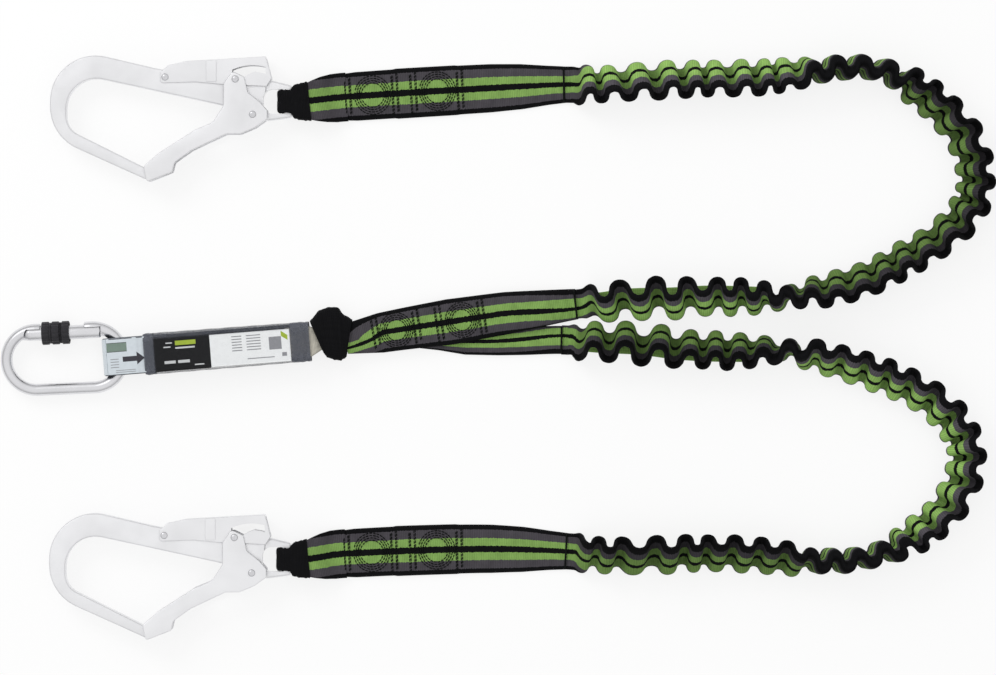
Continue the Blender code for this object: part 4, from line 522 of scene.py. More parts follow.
elastic = {
    "routes": {
        "leg_a": [
            (0.0591, 0.2223), (0.0880, 0.2214), (0.1220, 0.2240), (0.1560, 0.2257), (0.1900, 0.2265),
            (0.2240, 0.2274), (0.2580, 0.2308), (0.2920, 0.2359), (0.3175, 0.2359), (0.3430, 0.2274),
            (0.3642, 0.2129), (0.3855, 0.1934), (0.4008, 0.1704), (0.4067, 0.1449), (0.4042, 0.1237),
            (0.3897, 0.1024), (0.3685, 0.0854), (0.3430, 0.0710), (0.3175, 0.0574), (0.2835, 0.0472),
            (0.2495, 0.0412), (0.2155, 0.0421), (0.1815, 0.0429), (0.1475, 0.0412), (0.1135, 0.0404),
            (0.0880, 0.0370), (0.0684, 0.0353),
        ],
        "leg_b": [
            (0.0608, -0.1755), (0.0965, -0.1781), (0.1305, -0.1781), (0.1645, -0.1764), (0.1985, -0.1764),
            (0.2325, -0.1789), (0.2665, -0.1823), (0.3005, -0.1823), (0.3345, -0.1738), (0.3600, -0.1585),
            (0.3812, -0.1398), (0.3957, -0.1143), (0.3982, -0.0846), (0.3812, -0.0565), (0.3557, -0.0378),
            (0.3260, -0.0251), (0.2920, -0.0140), (0.2580, -0.0055), (0.2240, -0.0055), (0.1900, -0.0055),
            (0.1560, -0.0038), (0.1220, 0.0004), (0.0880, 0.0021), (0.0565, 0.0047),
        ],
    },
    "lengths": {"leg_a": 0.779, "leg_b": 0.763},
    # the side that the low edge starts on (1 is left of the way it runs), where along the leg it stands up
    # and lies down again on the other side, and where it turns back over
    "startSide": {"leg_a": 1, "leg_b": -1},
    "standsUp": (0.245, 0.280, 0.355, 0.400),
    "turnsBack": {"leg_a": (0.70, 0.84), "leg_b": (0.68, 0.82)},
    "waves": 36,
    # X of the crests towards +Y that show in the photo: on the run out, and on the run back from its far end
    "crestsOut": {
        "leg_a": (0.0760, 0.0942, 0.1190, 0.1450, 0.1669, 0.1840, 0.2077, 0.2282, 0.2431),
        "leg_b": (0.0670, 0.0859, 0.1060, 0.1367, 0.1615, 0.1793, 0.2017, 0.2241, 0.2455),
    },
    "crestsBack": {
        "leg_a": (0.2469, 0.2277, 0.2072, 0.1876, 0.1624, 0.1357, 0.1051, 0.0784),
        "leg_b": (0.2725, 0.2496, 0.2269, 0.2065, 0.1861, 0.1648, 0.1389, 0.1090, 0.0823, 0.0610),
    },
    # the middle line's phase at those crests
    "phaseOut": {"leg_a": np.pi / 2 - 0.65, "leg_b": np.pi / 2 + 0.65},
    "phaseBack": {"leg_a": 0.31 - np.pi / 2, "leg_b": -0.05 - np.pi / 2},
    "unevenBend": (0.8, 7.7),  # a and b of the unevenness round the far bend
    "rings": 1000,
    "columns": 33,
    "width": 37 * mm,
    "uprightWidth": 30 * mm,
    "hookSeamWidth": 31 * mm,
    "forkSeamWidth": 25 * mm,
    "narrowerBack": 2.5 * mm,  # how much narrower it is on the run back to the fork
    "thickness": 3.0 * mm,
    "roundEdge": 0.05,  # share of the width that each edge is rounded over
    "selvedge": (0.4, 0.10),  # how much thicker the high edge is, and over which share
    "sideways": 3.8 * mm,  # how far a wave swings to the side
    "upwards": 4.2 * mm,  # and up and down
    "nods": 1.2 * mm,  # how far an upright wave rises and falls
    "skew": 1.0 * mm,  # how far a wave leans along the leg
    "widerUpright": 0.45,
    "widerBack": 0.28,
    "shiftBack": 1.4 * mm,
    "highEdge": 1.15,  # a wave's share of its swing at the high edge
    "lowEdge": 0.35,  # and how much less of it at the low edge
    # the waves' size varies along the leg: share of the size, beats along the leg, phase at its start
    "swells": ((0.16, 2.3, 0.6), (0.10, 11.3, 0.0)),
    # and grows once more near the fork: share of the size, from where along the leg, over how much of it
    "lastSwell": (0.28, 0.84, 0.06),
    # from where along the leg, and over how much of it, the run back to the fork starts
    "goesBack": (0.78, 0.06),
    # how far from a seam these start, and over which length: the waves, the lean, one common rest on the
    # floor, and the gathered stripes
    "grows": (4 * mm, 12 * mm),
    "leans": (3 * mm, 20 * mm),
    "restsTogether": (4 * mm, 18 * mm),
    "seamStripes": (2 * mm, 14 * mm),
    "firstWaves": (0.6, 55 * mm),  # the first waves' share of their size, and where they are full
    "restRings": 30,
    "intoSeam": 1.0 * mm,
    # how far the low edge's wave is ahead of the high edge's, in radians, and on the runs back
    "lead": 1.3,
    "leadBack": {"leg_a": 0.78, "leg_b": 0.1},
    "opens": 5.0 * mm,  # how far each wall of the tube stands out where it is upright
    "lean": np.radians(32),
    "curlFrom": 0.60,  # share of the width, from the high edge, where the low edge starts to curl under
    "curlTo": 1.05,
    "curl": np.radians(95),
    "curlHolds": 1.2,  # the curl stays full until the width is this much on its way upright
    "crinkle": 0.3 * mm,
    "crinklePitch": 3.4 * mm,
    # where the stripes' edges lie across, from the high edge: gathered, and squeezed in the seam at the fork
    "gathered": (0, 0.18, 0.33, 0.49, 0.56, 0.79, 0.90, 1),
    "forkSeam": (0, 0.19, 0.31, 0.60, 0.70, 0.93, 0.98, 1),
    # the straight inner wall that shows in the folds of the two runs that go back to the fork
    "backFrom": {"leg_a": 0.80, "leg_b": 0.79},
    "backTo": 0.985,
    "backHeight": 2.6 * mm,
    "backWave": 0.8 * mm,
    "backThickness": 1.2 * mm,
    "backOffset": {"leg_a": -3.0 * mm, "leg_b": 3.2 * mm},
    "backWidth": 10.5 * mm,
    "backStep": 3,  # it has every third of the leg's rings
    "backTurns": 40,  # radians that its height waves through from end to end
    "backStripe": (0.29, 0.12),  # middle and half width of its place on the flat webbing, in the green stripe
    "pathRings": 47,  # rings on each side over which the cord's height is averaged
    "drawnToEdges": 0.35,  # how far the columns are drawn to the two edges
    "crinkleBend": (3.0, 5, 9),  # a, b and c of the crinkles' phase, which bends by a sin(b q + c s)
    # where painted shade darkens the webbing, each with its start, over which share it grows, and its depth:
    # the waves' low parts, the foot of an upright stretch, and the edge that curls under
    "paintedShadeLows": (0.15, 1.1, 0.75),
    "paintedShadeFoot": (0.30, 0.6, 0.8),
    "paintedShadeUnder": (0.78, 0.22, 0.6),
    "outerWall": (1.3, 0.35),  # times the painted shade, less this, which paints a highlight on the outer wall
    "innerWall": (0.4, 0.6),  # times the painted shade, and this more, which paints shade on the whole inner wall
}
sections = {
    "leg_a": [(-0.1288, 0.2117), (-0.0820, 0.2148), (-0.0225, 0.2183), (0.0200, 0.2206), (0.0591, 0.2223)],
    "leg_b": [
        (-0.1296, -0.1774), (-0.0820, -0.1751), (-0.0225, -0.1734), (0.0200, -0.1738), (0.0608, -0.1755),
    ],
}
forks = {
    "leg_a": [
        (0.0684, 0.0353), (0.0370, 0.0314), (0.0030, 0.0268), (-0.0378, 0.0204), (-0.0820, 0.0136),
        (-0.1285, 0.0054),
    ],
    "leg_b": [
        (0.0565, 0.0047), (0.0200, 0.0038), (-0.0225, 0.0034), (-0.0565, 0.0034), (-0.0905, 0.0038),
        (-0.1285, 0.0049),
    ],
}


def stripeShare(q, places):
    # the flat webbing's share of half width at q, for the places that the stripes' edges lie at
    return np.interp(q, places, webbing["edges"])


def wavePhase(leg, share, line):
    # p grows by 2 pi from crest to crest. Round the far bend, between the two runs, it grows evenly but for
    # a sin(2 pi b s).
    s, x = share[:, 0], line[:, 0]
    farthest = np.argmax(x)
    out = np.interp(elastic["crestsOut"][leg], x[:farthest], s[:farthest])
    back = np.interp(elastic["crestsBack"][leg], x[farthest:][::-1], s[farthest:][::-1])
    outFrom, backFrom = elastic["phaseOut"][leg], elastic["phaseBack"][leg]
    turns = np.round((back[0] - out[-1]) * elastic["waves"] + (outFrom - backFrom) / (2 * np.pi))
    outPhase = outFrom + 2 * np.pi * np.arange(len(out))
    backPhase = backFrom + 2 * np.pi * (len(out) - 1 + turns + np.arange(len(back)))
    knots = np.concatenate([[2 * out[0] - out[1]], out, back, [2 * back[-1] - back[-2]]])
    phases = np.concatenate([[outPhase[0] - 2 * np.pi], outPhase, backPhase, [backPhase[-1] + 2 * np.pi]])
    between = np.clip((s - out[-1]) / (back[0] - out[-1]), 0, 1)
    a, b = elastic["unevenBend"]
    uneven = a * np.sin(np.pi * between) ** 2 * np.sin(2 * np.pi * b * s)
    return (np.interp(s, knots, phases) + uneven)[:, None]


def legSide(leg, share):
    # 1 where the low edge is on the left, -1 where it is on the right, and 0 where the width stands upright
    up, back = elastic["standsUp"], elastic["turnsBack"][leg]
    side = 1 - easeFrom(share, up[0], up[1] - up[0]) - easeFrom(share, up[2], up[3] - up[2])
    return elastic["startSide"][leg] * (side + 2 * easeFrom(share, back[0], back[1] - back[0]))


def legSection(q, width, side, leaned):
    # the angle of the width under the left's horizontal, then the width's steps added up
    angle = np.pi / 2 - side * (np.pi / 2 - elastic["lean"] * leaned)
    curled = ease((q - elastic["curlFrom"]) / (elastic["curlTo"] - elastic["curlFrom"]))
    angle = angle + elastic["curl"] * np.clip(elastic["curlHolds"] * side, -1, 1) * leaned * curled
    between = (angle[:, 1:] + angle[:, :-1]) / 2
    step = np.diff(q, axis=1) * width
    none = np.zeros((len(side), 1))
    sideways = np.concatenate([none, np.cumsum(np.cos(between) * step, axis=1)], axis=1)
    height = -np.concatenate([none, np.cumsum(np.sin(between) * step, axis=1)], axis=1)
    sideways -= (sideways.min(axis=1, keepdims=True) + sideways.max(axis=1, keepdims=True)) / 2
    return sideways, height - height.min(axis=1, keepdims=True)


def paintedFoldShade(q, side, wave, grown):
    # painted shade in the low parts of the waves, the foot of the upright stretches, and the edge that curls
    # under, and a painted highlight on the rest of the outer wall; the tube's inner wall gets painted shade
    # all over
    start, over, depth = elastic["paintedShadeLows"]
    low = ease((start - side * wave) / over) * side**2 * depth
    start, over, depth = elastic["paintedShadeFoot"]
    foot = easeFrom(q, start, over) * (1 - side**2) * depth
    start, over, depth = elastic["paintedShadeUnder"]
    hollow = np.maximum(np.maximum(low, foot), easeFrom(q, start, over) * depth) * grown
    (outer, less), (inner, more) = elastic["outerWall"], elastic["innerWall"]
    return closeRings(outer * hollow - less * grown, hollow * inner + more * grown)


def makeElasticLeg(leg):
    # A flat tube of webbing, drawn together by elastic threads. Across each ring it leans off the floor, and
    # its low edge curls under. It turns over by standing up: the high edge stays the high one.
    # Each ring swings square to its width by wave = sin p, whose phase p grows along the leg
    # and towards the low edge. q is the share of the width from the high edge.
    route = elastic["routes"][leg]
    line, ahead, length = smoothRoute(route, elastic["rings"], sections[leg][-2], forks[leg][1])
    share = np.linspace(0, 1, len(line))[:, None]
    fromEnds = np.minimum(share, 1 - share) * length
    atHook = share < 0.5
    t = np.linspace(0, 1, elastic["columns"])[None, :]
    drawn = elastic["drawnToEdges"]
    q = (1 - drawn) * t + drawn * (1 - np.cos(np.pi * t)) / 2
    side = legSide(leg, share)
    upright = 1 - side**2
    goesBack = easeFrom(share, *elastic["goesBack"])
    first, full = elastic["firstWaves"]
    grown = easeFrom(fromEnds, *elastic["grows"]) * (first + (1 - first) * ease(fromEnds / full))
    leaned = easeFrom(fromEnds, *elastic["leans"])
    seam = np.where(atHook, elastic["hookSeamWidth"], elastic["forkSeamWidth"])
    width = seam + (elastic["width"] - seam) * leaned - (elastic["width"] - elastic["uprightWidth"]) * upright
    width = width - elastic["narrowerBack"] * goesBack * leaned

    sideways, height = legSection(q, width, side, leaned)
    lead = elastic["lead"] * (1 - goesBack + 0.5 * upright) + elastic["leadBack"][leg] * goesBack
    phase = wavePhase(leg, share, line) + lead * (q - 0.5)
    wave = np.sin(phase)
    swell = 1
    for size, beats, start in elastic["swells"]:
        swell = swell + size * np.sin(2 * np.pi * beats * share + start)
    size, start, over = elastic["lastSwell"]
    swell = swell + size * easeFrom(share, start, over)
    reach = grown * swell * (elastic["highEdge"] - elastic["lowEdge"] * q)
    # where it stands upright, the tube opens like an upturned U
    spread = elastic["opens"] * upright * leaned * np.sqrt(1 - np.clip(1 - q / 0.5, 0, 1) ** 2)
    # on the run back to the fork the waves swing wider
    wider = 1 + elastic["widerBack"] * goesBack
    sideways = sideways + elastic["sideways"] * (1 + elastic["widerUpright"] * upright) * reach * wider * wave
    sideways = sideways + elastic["shiftBack"] * side * goesBack * leaned
    nods = elastic["nods"] * upright * reach * np.cos(2 * phase)
    height = height + elastic["upwards"] * side * reach * wave + nods
    skew = -elastic["skew"] * reach * np.sin(2 * phase)
    # the gathered yarns crinkle between the elastic threads
    a, b, c = elastic["crinkleBend"]
    ripple = 2 * np.pi * share * length / elastic["crinklePitch"] + a * np.sin(b * q + c * share)
    height = height + elastic["crinkle"] * grown * np.sin(ripple)

    left = leftOf(ahead)
    plan = line[:, None, :] + left[:, None, :] * sideways[..., None] + ahead[:, None, :] * skew[..., None]
    sheet = np.concatenate([plan, height[..., None]], axis=-1)
    normal = -unit(np.cross(np.gradient(sheet, axis=1), np.gradient(sheet, axis=0)))
    # half the thickness is full but for round edges, and the high edge is a thick selvedge
    more, reaches = elastic["selvedge"]
    edge = np.sqrt(np.clip(np.minimum(q, 1 - q) / elastic["roundEdge"], 0, 1))
    edge = edge * (1 + more * np.exp(-((q / reaches) ** 2)))
    half = (elastic["thickness"] / 2 * edge * np.ones_like(share))[..., None]
    opened = flat3(left[:, None, :] * spread[..., None])
    grid = closeRings(sheet + normal * half + opened, sheet - normal * half - opened)
    # every stretch rests on the floor, each end on its own
    own = grid[..., 2].min(axis=1)
    kept = easeFrom(fromEnds[:, 0], *elastic["restsTogether"])
    grid[..., 2] -= (own * (1 - kept) + smoothLowest(own, elastic["restRings"]) * kept)[:, None]
    grid[..., 2] = np.maximum(grid[..., 2], 0.0)
    grid[0] -= flat3(ahead[0] * elastic["intoSeam"])
    grid[-1] += flat3(ahead[-1] * elastic["intoSeam"])

    atSeam = 1 - easeFrom(fromEnds, *elastic["seamStripes"])
    seamShare = np.where(atHook, 2 * q - 1, stripeShare(q, elastic["forkSeam"]))
    across = stripeShare(q, elastic["gathered"]) * (1 - atSeam) + seamShare * atSeam
    run = routeRun(sheet[:, sheet.shape[1] // 2])
    flat = closeRings(across, across) * webbing["halfWidth"]
    obj = ringPiece(leg + "_elastic_webbing", grid, finishes["striped"], run, flat)
    # the painted shade and highlight of the folds, which the material reads
    pointValues(obj, "hollow", paintedFoldShade(q, side, wave, grown))
    settle(obj, "green_webbing", leg + "_elastic")

    back = makeBackWall(leg, line, left, share[:, 0])


def makeBackWall(leg, line, left, share):
    # a low straight strip of the same webbing, green, waving gently in its height
    taken = (share >= elastic["backFrom"][leg]) & (share <= elastic["backTo"])
    step, turns = elastic["backStep"], elastic["backTurns"]
    plan = (line + left * elastic["backOffset"][leg])[taken][::step]
    height = elastic["backHeight"] + elastic["backWave"] * np.sin(np.linspace(0, turns, len(plan)))
    centres = flat3(plan, height[:, None])
    across = flat3(left[taken][::step])
    up = np.broadcast_to(np.array([0, 0, 1.0]), centres.shape)
    widths = np.full(len(plan), elastic["backWidth"])
    grid, place = sweepTape(centres, across, up, widths, elastic["backThickness"])
    middle, reach = elastic["backStripe"]
    flat = (middle + reach * place) * webbing["halfWidth"]
    obj = ringPiece(leg + "_elastic_back_wall", grid, finishes["striped"], routeRun(plan), flat)
    return settle(obj, "green_webbing", body="webbing")


def smoothLowest(values, reach):
    # the lowest value near each ring, then averaged, so that every stretch rests on the floor
    index = np.arange(len(values))[:, None] + np.arange(-reach, reach + 1)[None, :]
    lowest = values[np.clip(index, 0, len(values) - 1)].min(axis=1)
    return lowest[np.clip(index, 0, len(values) - 1)].mean(axis=1)


for legName in ("leg_a", "leg_b"):
    makeElasticLeg(legName)
print("elastic legs ready")


# Sewn sections


def profileRoute(points, count):
    # a smooth curve in the X-Z plane through these points
    route, _, length = smoothRoute(points, count)
    return route, unit(np.gradient(route, axis=0)), length


sewn = {
    "drawnToEdges": 0.35,  # how far the columns are drawn to the two edges
    "puckerBend": (1.2, 3),  # a and b of the puckers' phase, which bends by a sin(b share) across
    "roundEdge": (0.93, 0.07),  # from which share of the half width an edge is rounded, and over how much
    "thickness": 5.2 * mm,
    "seat": 0.3 * mm,
    # leg A's section climbs over leg B's, and both rise at the link: by how much, how far before it, and over
    # which length
    "climbOver": 26 * mm,
    "forkRise": 2.2 * mm,
    "riseFrom": 24 * mm,
    "riseOver": 17 * mm,
    "puckers": (0.20 * mm, 7.5 * mm),  # height and pitch
    "underEdge": 0.7 * mm,
    "stripesOpen": 0.35,  # share of the length in which the seam's stripes spread out
    # shares of the length, and widths there
    "hookWidths": (
        [0.0, 0.05, 0.22, 0.235, 0.5, 0.515, 0.66, 0.8, 0.92, 1.0],
        [0.0400, 0.0415, 0.0418, 0.0428, 0.0425, 0.0418, 0.0412, 0.0385, 0.0335, 0.0310],
    ),
    "forkWidthsA": ([0.0, 0.30, 0.55, 0.85, 1.0], [0.0260, 0.036, 0.039, 0.034, 0.0255]),
    "forkWidthsB": ([0.0, 0.3, 0.45, 0.57, 0.7, 1.0], [0.0240, 0.0240, 0.0225, 0.0150, 0.0100, 0.0140]),
    # height of the top over the share of the half width
    "profile": (
        [0.0, 0.2, 0.45, 0.62, 0.8, 0.9, 0.96, 1.0],
        [0.0052, 0.0052, 0.00512, 0.00495, 0.0045, 0.0039, 0.0031, 0.0017],
    ),
    # leg A's stripes run together under the sleeve: shares across, and where these lie on the flat webbing
    "squeezed": ([0, 0.58, 0.65, 0.78, 0.85, 1], [-1, -0.80, -0.45, -0.13, 0.13, 0.45]),
}


def placedSurface(route, widths, lift, thins, before=None, after=None, rings=320):
    # place(s, v) gives points of a sewn section's top, s metres along its line and v metres to the left
    line, ahead, length = smoothRoute(route, rings, before, after)
    run = np.linspace(0, length, rings)
    left = leftOf(ahead)
    halfWidths = np.interp(run / length, *widths) / 2
    rise = lift(run, length)
    thick = 1 - thins * easeFrom(run / length, 0.5, 0.3)

    def place(s, v):
        s, v = np.broadcast_arrays(np.asarray(s, float), np.asarray(v, float))
        x = np.interp(s, run, line[:, 0]) + v * np.interp(s, run, left[:, 0])
        y = np.interp(s, run, line[:, 1]) + v * np.interp(s, run, left[:, 1])
        share = np.clip(np.abs(v) / np.interp(s, run, halfWidths), 0, 1)
        z = np.interp(share, *sewn["profile"]) * np.interp(s, run, thick) + np.interp(s, run, rise)
        return np.stack([x, y, z], axis=-1)

    return {"place": place, "run": run, "half": halfWidths, "length": length, "rise": rise}


def sewnPiece(node, surface, stripes, columns=45):
    # the top follows place(s, v), with shallow puckers across it. The underside is flat, with raised edges.
    share = np.sin(np.linspace(-np.pi / 2, np.pi / 2, columns))[None, :] * sewn["drawnToEdges"]
    share = share + np.linspace(-1, 1, columns)[None, :] * (1 - sewn["drawnToEdges"])
    run = surface["run"][:, None]
    across = share * surface["half"][:, None]
    top = surface["place"](np.broadcast_to(run, across.shape), across)
    size, pitch = sewn["puckers"]
    a, b = sewn["puckerBend"]
    pucker = size * ripples(run, pitch, a * np.sin(b * share)) * (1 - share**8)
    top[..., 2] += pucker - size
    bottom = top.copy()
    start, over = sewn["roundEdge"]
    edge = np.clip((np.abs(share) - start) / over, 0, 1)
    bottom[..., 2] = surface["rise"][:, None] + sewn["underEdge"] * edge**2
    flat = stripes(run / surface["length"], share * np.ones_like(run))
    flat = closeRings(flat, flat) * webbing["halfWidth"]
    name = node.replace("section", "webbing")
    obj = ringPiece(name, closeRings(top, bottom), finishes["striped"], surface["run"], flat)
    settle(obj, "green_webbing", node)


def noLift(run, length):
    return np.zeros_like(run)


def forkRise(run, length):
    return sewn["forkRise"] * ease((run - length + sewn["riseFrom"]) / sewn["riseOver"])


def overOther(run, length):
    return (sewn["thickness"] + sewn["seat"]) * ease(run / sewn["climbOver"]) + forkRise(run, length)


def plainStripes(runShare, share):
    return share


def forkStripesA(runShare, share):
    q = (1 + share) / 2
    seam = stripeShare(q, elastic["forkSeam"])
    flat = seam + (share - seam) * ease(runShare / sewn["stripesOpen"])
    squeezed = np.interp(q, *sewn["squeezed"])
    return flat + (squeezed - flat) * np.clip((runShare - 0.84) / 0.16, 0, 1)


def forkStripesB(runShare, share):
    seam = stripeShare((1 - share) / 2, elastic["forkSeam"])
    return seam + (-share - seam) * ease(runShare / sewn["stripesOpen"])


surfaces = {}
for legName in ("leg_a", "leg_b"):
    nextPoint = elastic["routes"][legName][1]
    surface = placedSurface(sections[legName], sewn["hookWidths"], noLift, 0.2, None, nextPoint)
    surfaces[legName + "_hook_section"] = surface
    sewnPiece(legName + "_hook_section", surface, plainStripes)
surface = placedSurface(forks["leg_a"], sewn["forkWidthsA"], overOther, 0, elastic["routes"]["leg_a"][-2])
surfaces["leg_a_fork_section"] = surface
sewnPiece("leg_a_fork_section", surface, forkStripesA)
surface = placedSurface(forks["leg_b"], sewn["forkWidthsB"], forkRise, 0, elastic["routes"]["leg_b"][-2])
surfaces["leg_b_fork_section"] = surface
sewnPiece("leg_b_fork_section", surface, forkStripesB)

hookPattern = {
    "bars": (0.0021, 0.0425, 0.0582, 0.0980), "rounds": (0.0234, 0.0786), "radii": (15.5, 13.6, 11.7, 9.8),
}
forkPattern = {
    "bars": (0.0817, 0.1183, 0.1376, 0.1729), "rounds": (0.0989, 0.1552), "radii": (14.0, 12.2, 10.4, 8.6),
}
stitch = {
    "length": 2.6 * mm,
    "gap": 0.5 * mm,
    "radius": 0.45 * mm,
    "arch": 0.25 * mm,
    "sunk": 0.05 * mm,
    # a tack is four rows of stitches: where they lie from its middle, how they slant, and their share of
    # the width
    "tackRows": (-2.7 * mm, -1.6 * mm, 1.6 * mm, 2.7 * mm),
    "tackSlant": 0.6,
    "tackShare": 0.80,
    "roundWide": 1.06,  # how much wider the rounds are across than along
    "seamRadius": 0.9 * mm,
    "seamShare": 0.96,
    "seamStitches": 16,
    "seamOverlap": 0.3 * mm,
    # where each section's tacks and rounds of stitches are, in metres from its start, and the rounds' radii
    # in millimetres
    "patterns": {
        "leg_a_hook_section": {**hookPattern, "seam": 0.1865},
        "leg_b_hook_section": {**hookPattern, "seam": 0.1889},
        "leg_a_fork_section": {**forkPattern, "seam": 0.0012},
        "leg_b_fork_section": {"bars": (), "rounds": (), "radii": (), "seam": 0.0012},
    },
}


def stitchPath(points):
    # equal stitches along a line of (s, v) points, each a start and an end
    run = routeRun(points)
    starts = np.arange(0, run[-1] - stitch["length"] * 0.7, stitch["length"] + stitch["gap"])
    ends = np.minimum(starts + stitch["length"], run[-1])
    read = [np.interp(where, run, points[:, k]) for where in (starts, ends) for k in (0, 1)]
    return np.stack(read, axis=1)


def makeStitching(node):
    surface, pattern = surfaces[node], stitch["patterns"][node]
    lines = []
    for bar in pattern["bars"]:
        half = np.interp(bar, surface["run"], surface["half"]) * stitch["tackShare"]
        for row in stitch["tackRows"]:
            v = np.linspace(-half, half, 3) + row * stitch["tackSlant"]
            lines.append(np.column_stack([np.full(3, bar + row), v]))
    for middle in pattern["rounds"]:
        for radius in pattern["radii"]:
            # each round starts at its own place
            turn = np.linspace(0, 2 * np.pi, 90) + radius
            circle = [middle + radius * mm * np.cos(turn), stitch["roundWide"] * radius * mm * np.sin(turn)]
            lines.append(np.column_stack(circle))
    ends = np.concatenate([stitchPath(line) for line in lines] or [np.zeros((0, 4))])
    radii = np.full(len(ends), stitch["radius"])
    # the seam that holds the elastic: one thick close row
    half = np.interp(pattern["seam"], surface["run"], surface["half"]) * stitch["seamShare"]
    count, overlap = stitch["seamStitches"], stitch["seamOverlap"]
    v, seam = np.linspace(-half, half, count + 1), np.full(count, pattern["seam"])
    ends = np.concatenate([ends, np.column_stack([seam, v[:-1] - overlap, seam, v[1:] + overlap])])
    radii = np.concatenate([radii, np.full(count, stitch["seamRadius"])])
    # each stitch is a capsule, arched a little in its middle and sunk at both ends
    t = np.array([0.0, 0.12, 0.5, 0.88, 1.0])[None, :]
    thick = np.array([0.3, 0.9, 1.0, 0.9, 0.3])[None, :] * radii[:, None]
    s = ends[:, 0:1] + (ends[:, 2:3] - ends[:, 0:1]) * t
    v = ends[:, 1:2] + (ends[:, 3:4] - ends[:, 1:2]) * t
    centre = surface["place"](s, v)
    centre[..., 2] += stitch["arch"] * (1 - (2 * t - 1) ** 2) - stitch["sunk"]
    way = unit(centre[:, -1] - centre[:, 0])
    aside = unit(flat3(leftOf(way)))
    rings, sides = t.size, 6
    turn = fullTurn(sides)
    points = centre[:, :, None, :] + thick[..., None, None] * (
        aside[:, None, None, :] * np.cos(turn)[:, None] + np.array([0, 0, 1.0]) * np.sin(turn)[:, None]
    )
    # each end is closed by two faces
    caps = [[5, 4, 3, 2], [5, 2, 1, 0], [24, 25, 26, 27], [24, 27, 28, 29]]
    one = np.vstack([gridFaces(rings, sides, True), caps])
    faces = (one[None] + rings * sides * np.arange(len(points))[:, None, None]).reshape(-1, 4)
    obj = meshPiece(node.replace("section", "stitching"), points.reshape(-1, 3), faces, finishes["thread"])
    faceOutwards(obj)
    settle(obj, "dark_webbing", body="webbing")


for sectionNode in surfaces:
    makeStitching(sectionNode)
print("sewn sections ready")


# Loops round the hooks' eye bars, and the wear sleeves over them

loop = {
    # the sleeve's coarse and fine wrinkles
    "wrinkle": 0.20 * mm,
    "wrinklePitch": 4.6 * mm,
    "fineWrinkle": 0.12 * mm,
    "finePitch": 2.7 * mm,
    "hookAt": {"leg_a": (-0.1764, 0.2070), "leg_b": (-0.1772, -0.1818)},
    "hookHeight": 11.5 * mm,
    "eyeMiddle": 0.2 * mm,
    "clear": 4.94 * mm,
    "wall": 1.0 * mm,
    "seat": 0.3 * mm,
    "thickness": 2.6 * mm,
    "tuck": 1.5 * mm,  # how far its ends run into the sewn section
    "rings": 150,
    "widths": (
        [0.0, 0.2, 0.36, 0.45, 0.62, 0.8, 1.0],
        [0.0170, 0.0170, 0.0310, 0.0340, 0.0385, 0.0412, 0.0415],
    ),
    "sleeveRings": 170,
    "sleeveWidths": ([0.0, 0.035, 0.09, 0.20, 0.36], [0.0203, 0.0208, 0.0285, 0.0312, 0.0335]),
    "sleeveTo": 0.36,
    "wrinkleIn": 0.30 * mm,  # the wrinkles lie within this of the sleeve's outside
    "lowest": 0.2 * mm,
}


def hookLoopLine(leg):
    # the loop's side view in (run, height), and its plan: straight off the bar, then easing to the seam
    route = np.array(sections[leg])
    seam = unit(route[1] - route[0])
    start = np.array(loop["hookAt"][leg])
    end = route[0] - seam * loop["seat"]
    centreY = start[1] + loop["eyeMiddle"]
    run = end[0] - start[0]
    holdIn = loop["wall"] + loop["seat"]
    thick = loop["thickness"]
    bend = loop["clear"] + holdIn + thick / 2
    straight = bend * 1.1
    layer, middle = thick / 2, loop["hookHeight"]
    top = [
        (run + loop["tuck"], layer * 3 - 0.2 * mm), (run * 0.8, layer * 3 + loop["seat"] + 1.6 * mm),
        (run * 0.62, middle + bend * 0.05), (run * 0.42, middle + bend * 0.62),
        (run * 0.22, middle + bend * 0.96), (0.0, middle + bend),
    ]
    turn = np.pi / 2 + np.pi * np.arange(1, 9) / 8
    roundBar = np.stack([bend * np.cos(turn), middle + bend * np.sin(turn)], axis=1)
    hold = holdIn + layer
    bottom = [
        (run * 0.22, max(hold, middle - bend * 0.97)), (run * 0.45, hold), (run * 0.62, hold * 0.85),
        (run * 0.8, layer * 1.15), (run + loop["tuck"], layer),
    ]
    side = np.vstack([top, roundBar, bottom])

    def plan(x):
        span = run - straight
        t = np.clip((x - straight) / span, 0, 1)
        slope = seam[1] / seam[0]
        y = centreY + (end[1] - centreY) * (3 * t**2 - 2 * t**3) + slope * span * (t**3 - t**2)
        y = y + slope * np.maximum(x - run, 0)
        rise = (end[1] - centreY) * (6 * t - 6 * t**2) / span + slope * (3 * t**2 - 2 * t)
        points = np.stack([start[0] + x, y, np.zeros_like(x)], axis=1)
        return points, unit(np.stack([np.ones_like(x), rise, np.zeros_like(x)], axis=1))

    return side, plan, run


def alongLoop(side, plan, count):
    line, ahead, length = profileRoute(side, count)
    here, flat = plan(line[:, 0])
    along = unit(flat * ahead[:, :1] + np.array([0, 0, 1]) * ahead[:, 1:])
    across = np.stack([-flat[:, 1], flat[:, 0], flat[:, 2]], axis=1)
    up = np.cross(across, along)
    centres = here + np.array([0, 0, 1]) * line[:, 1:]
    return centres, across, up, line, length


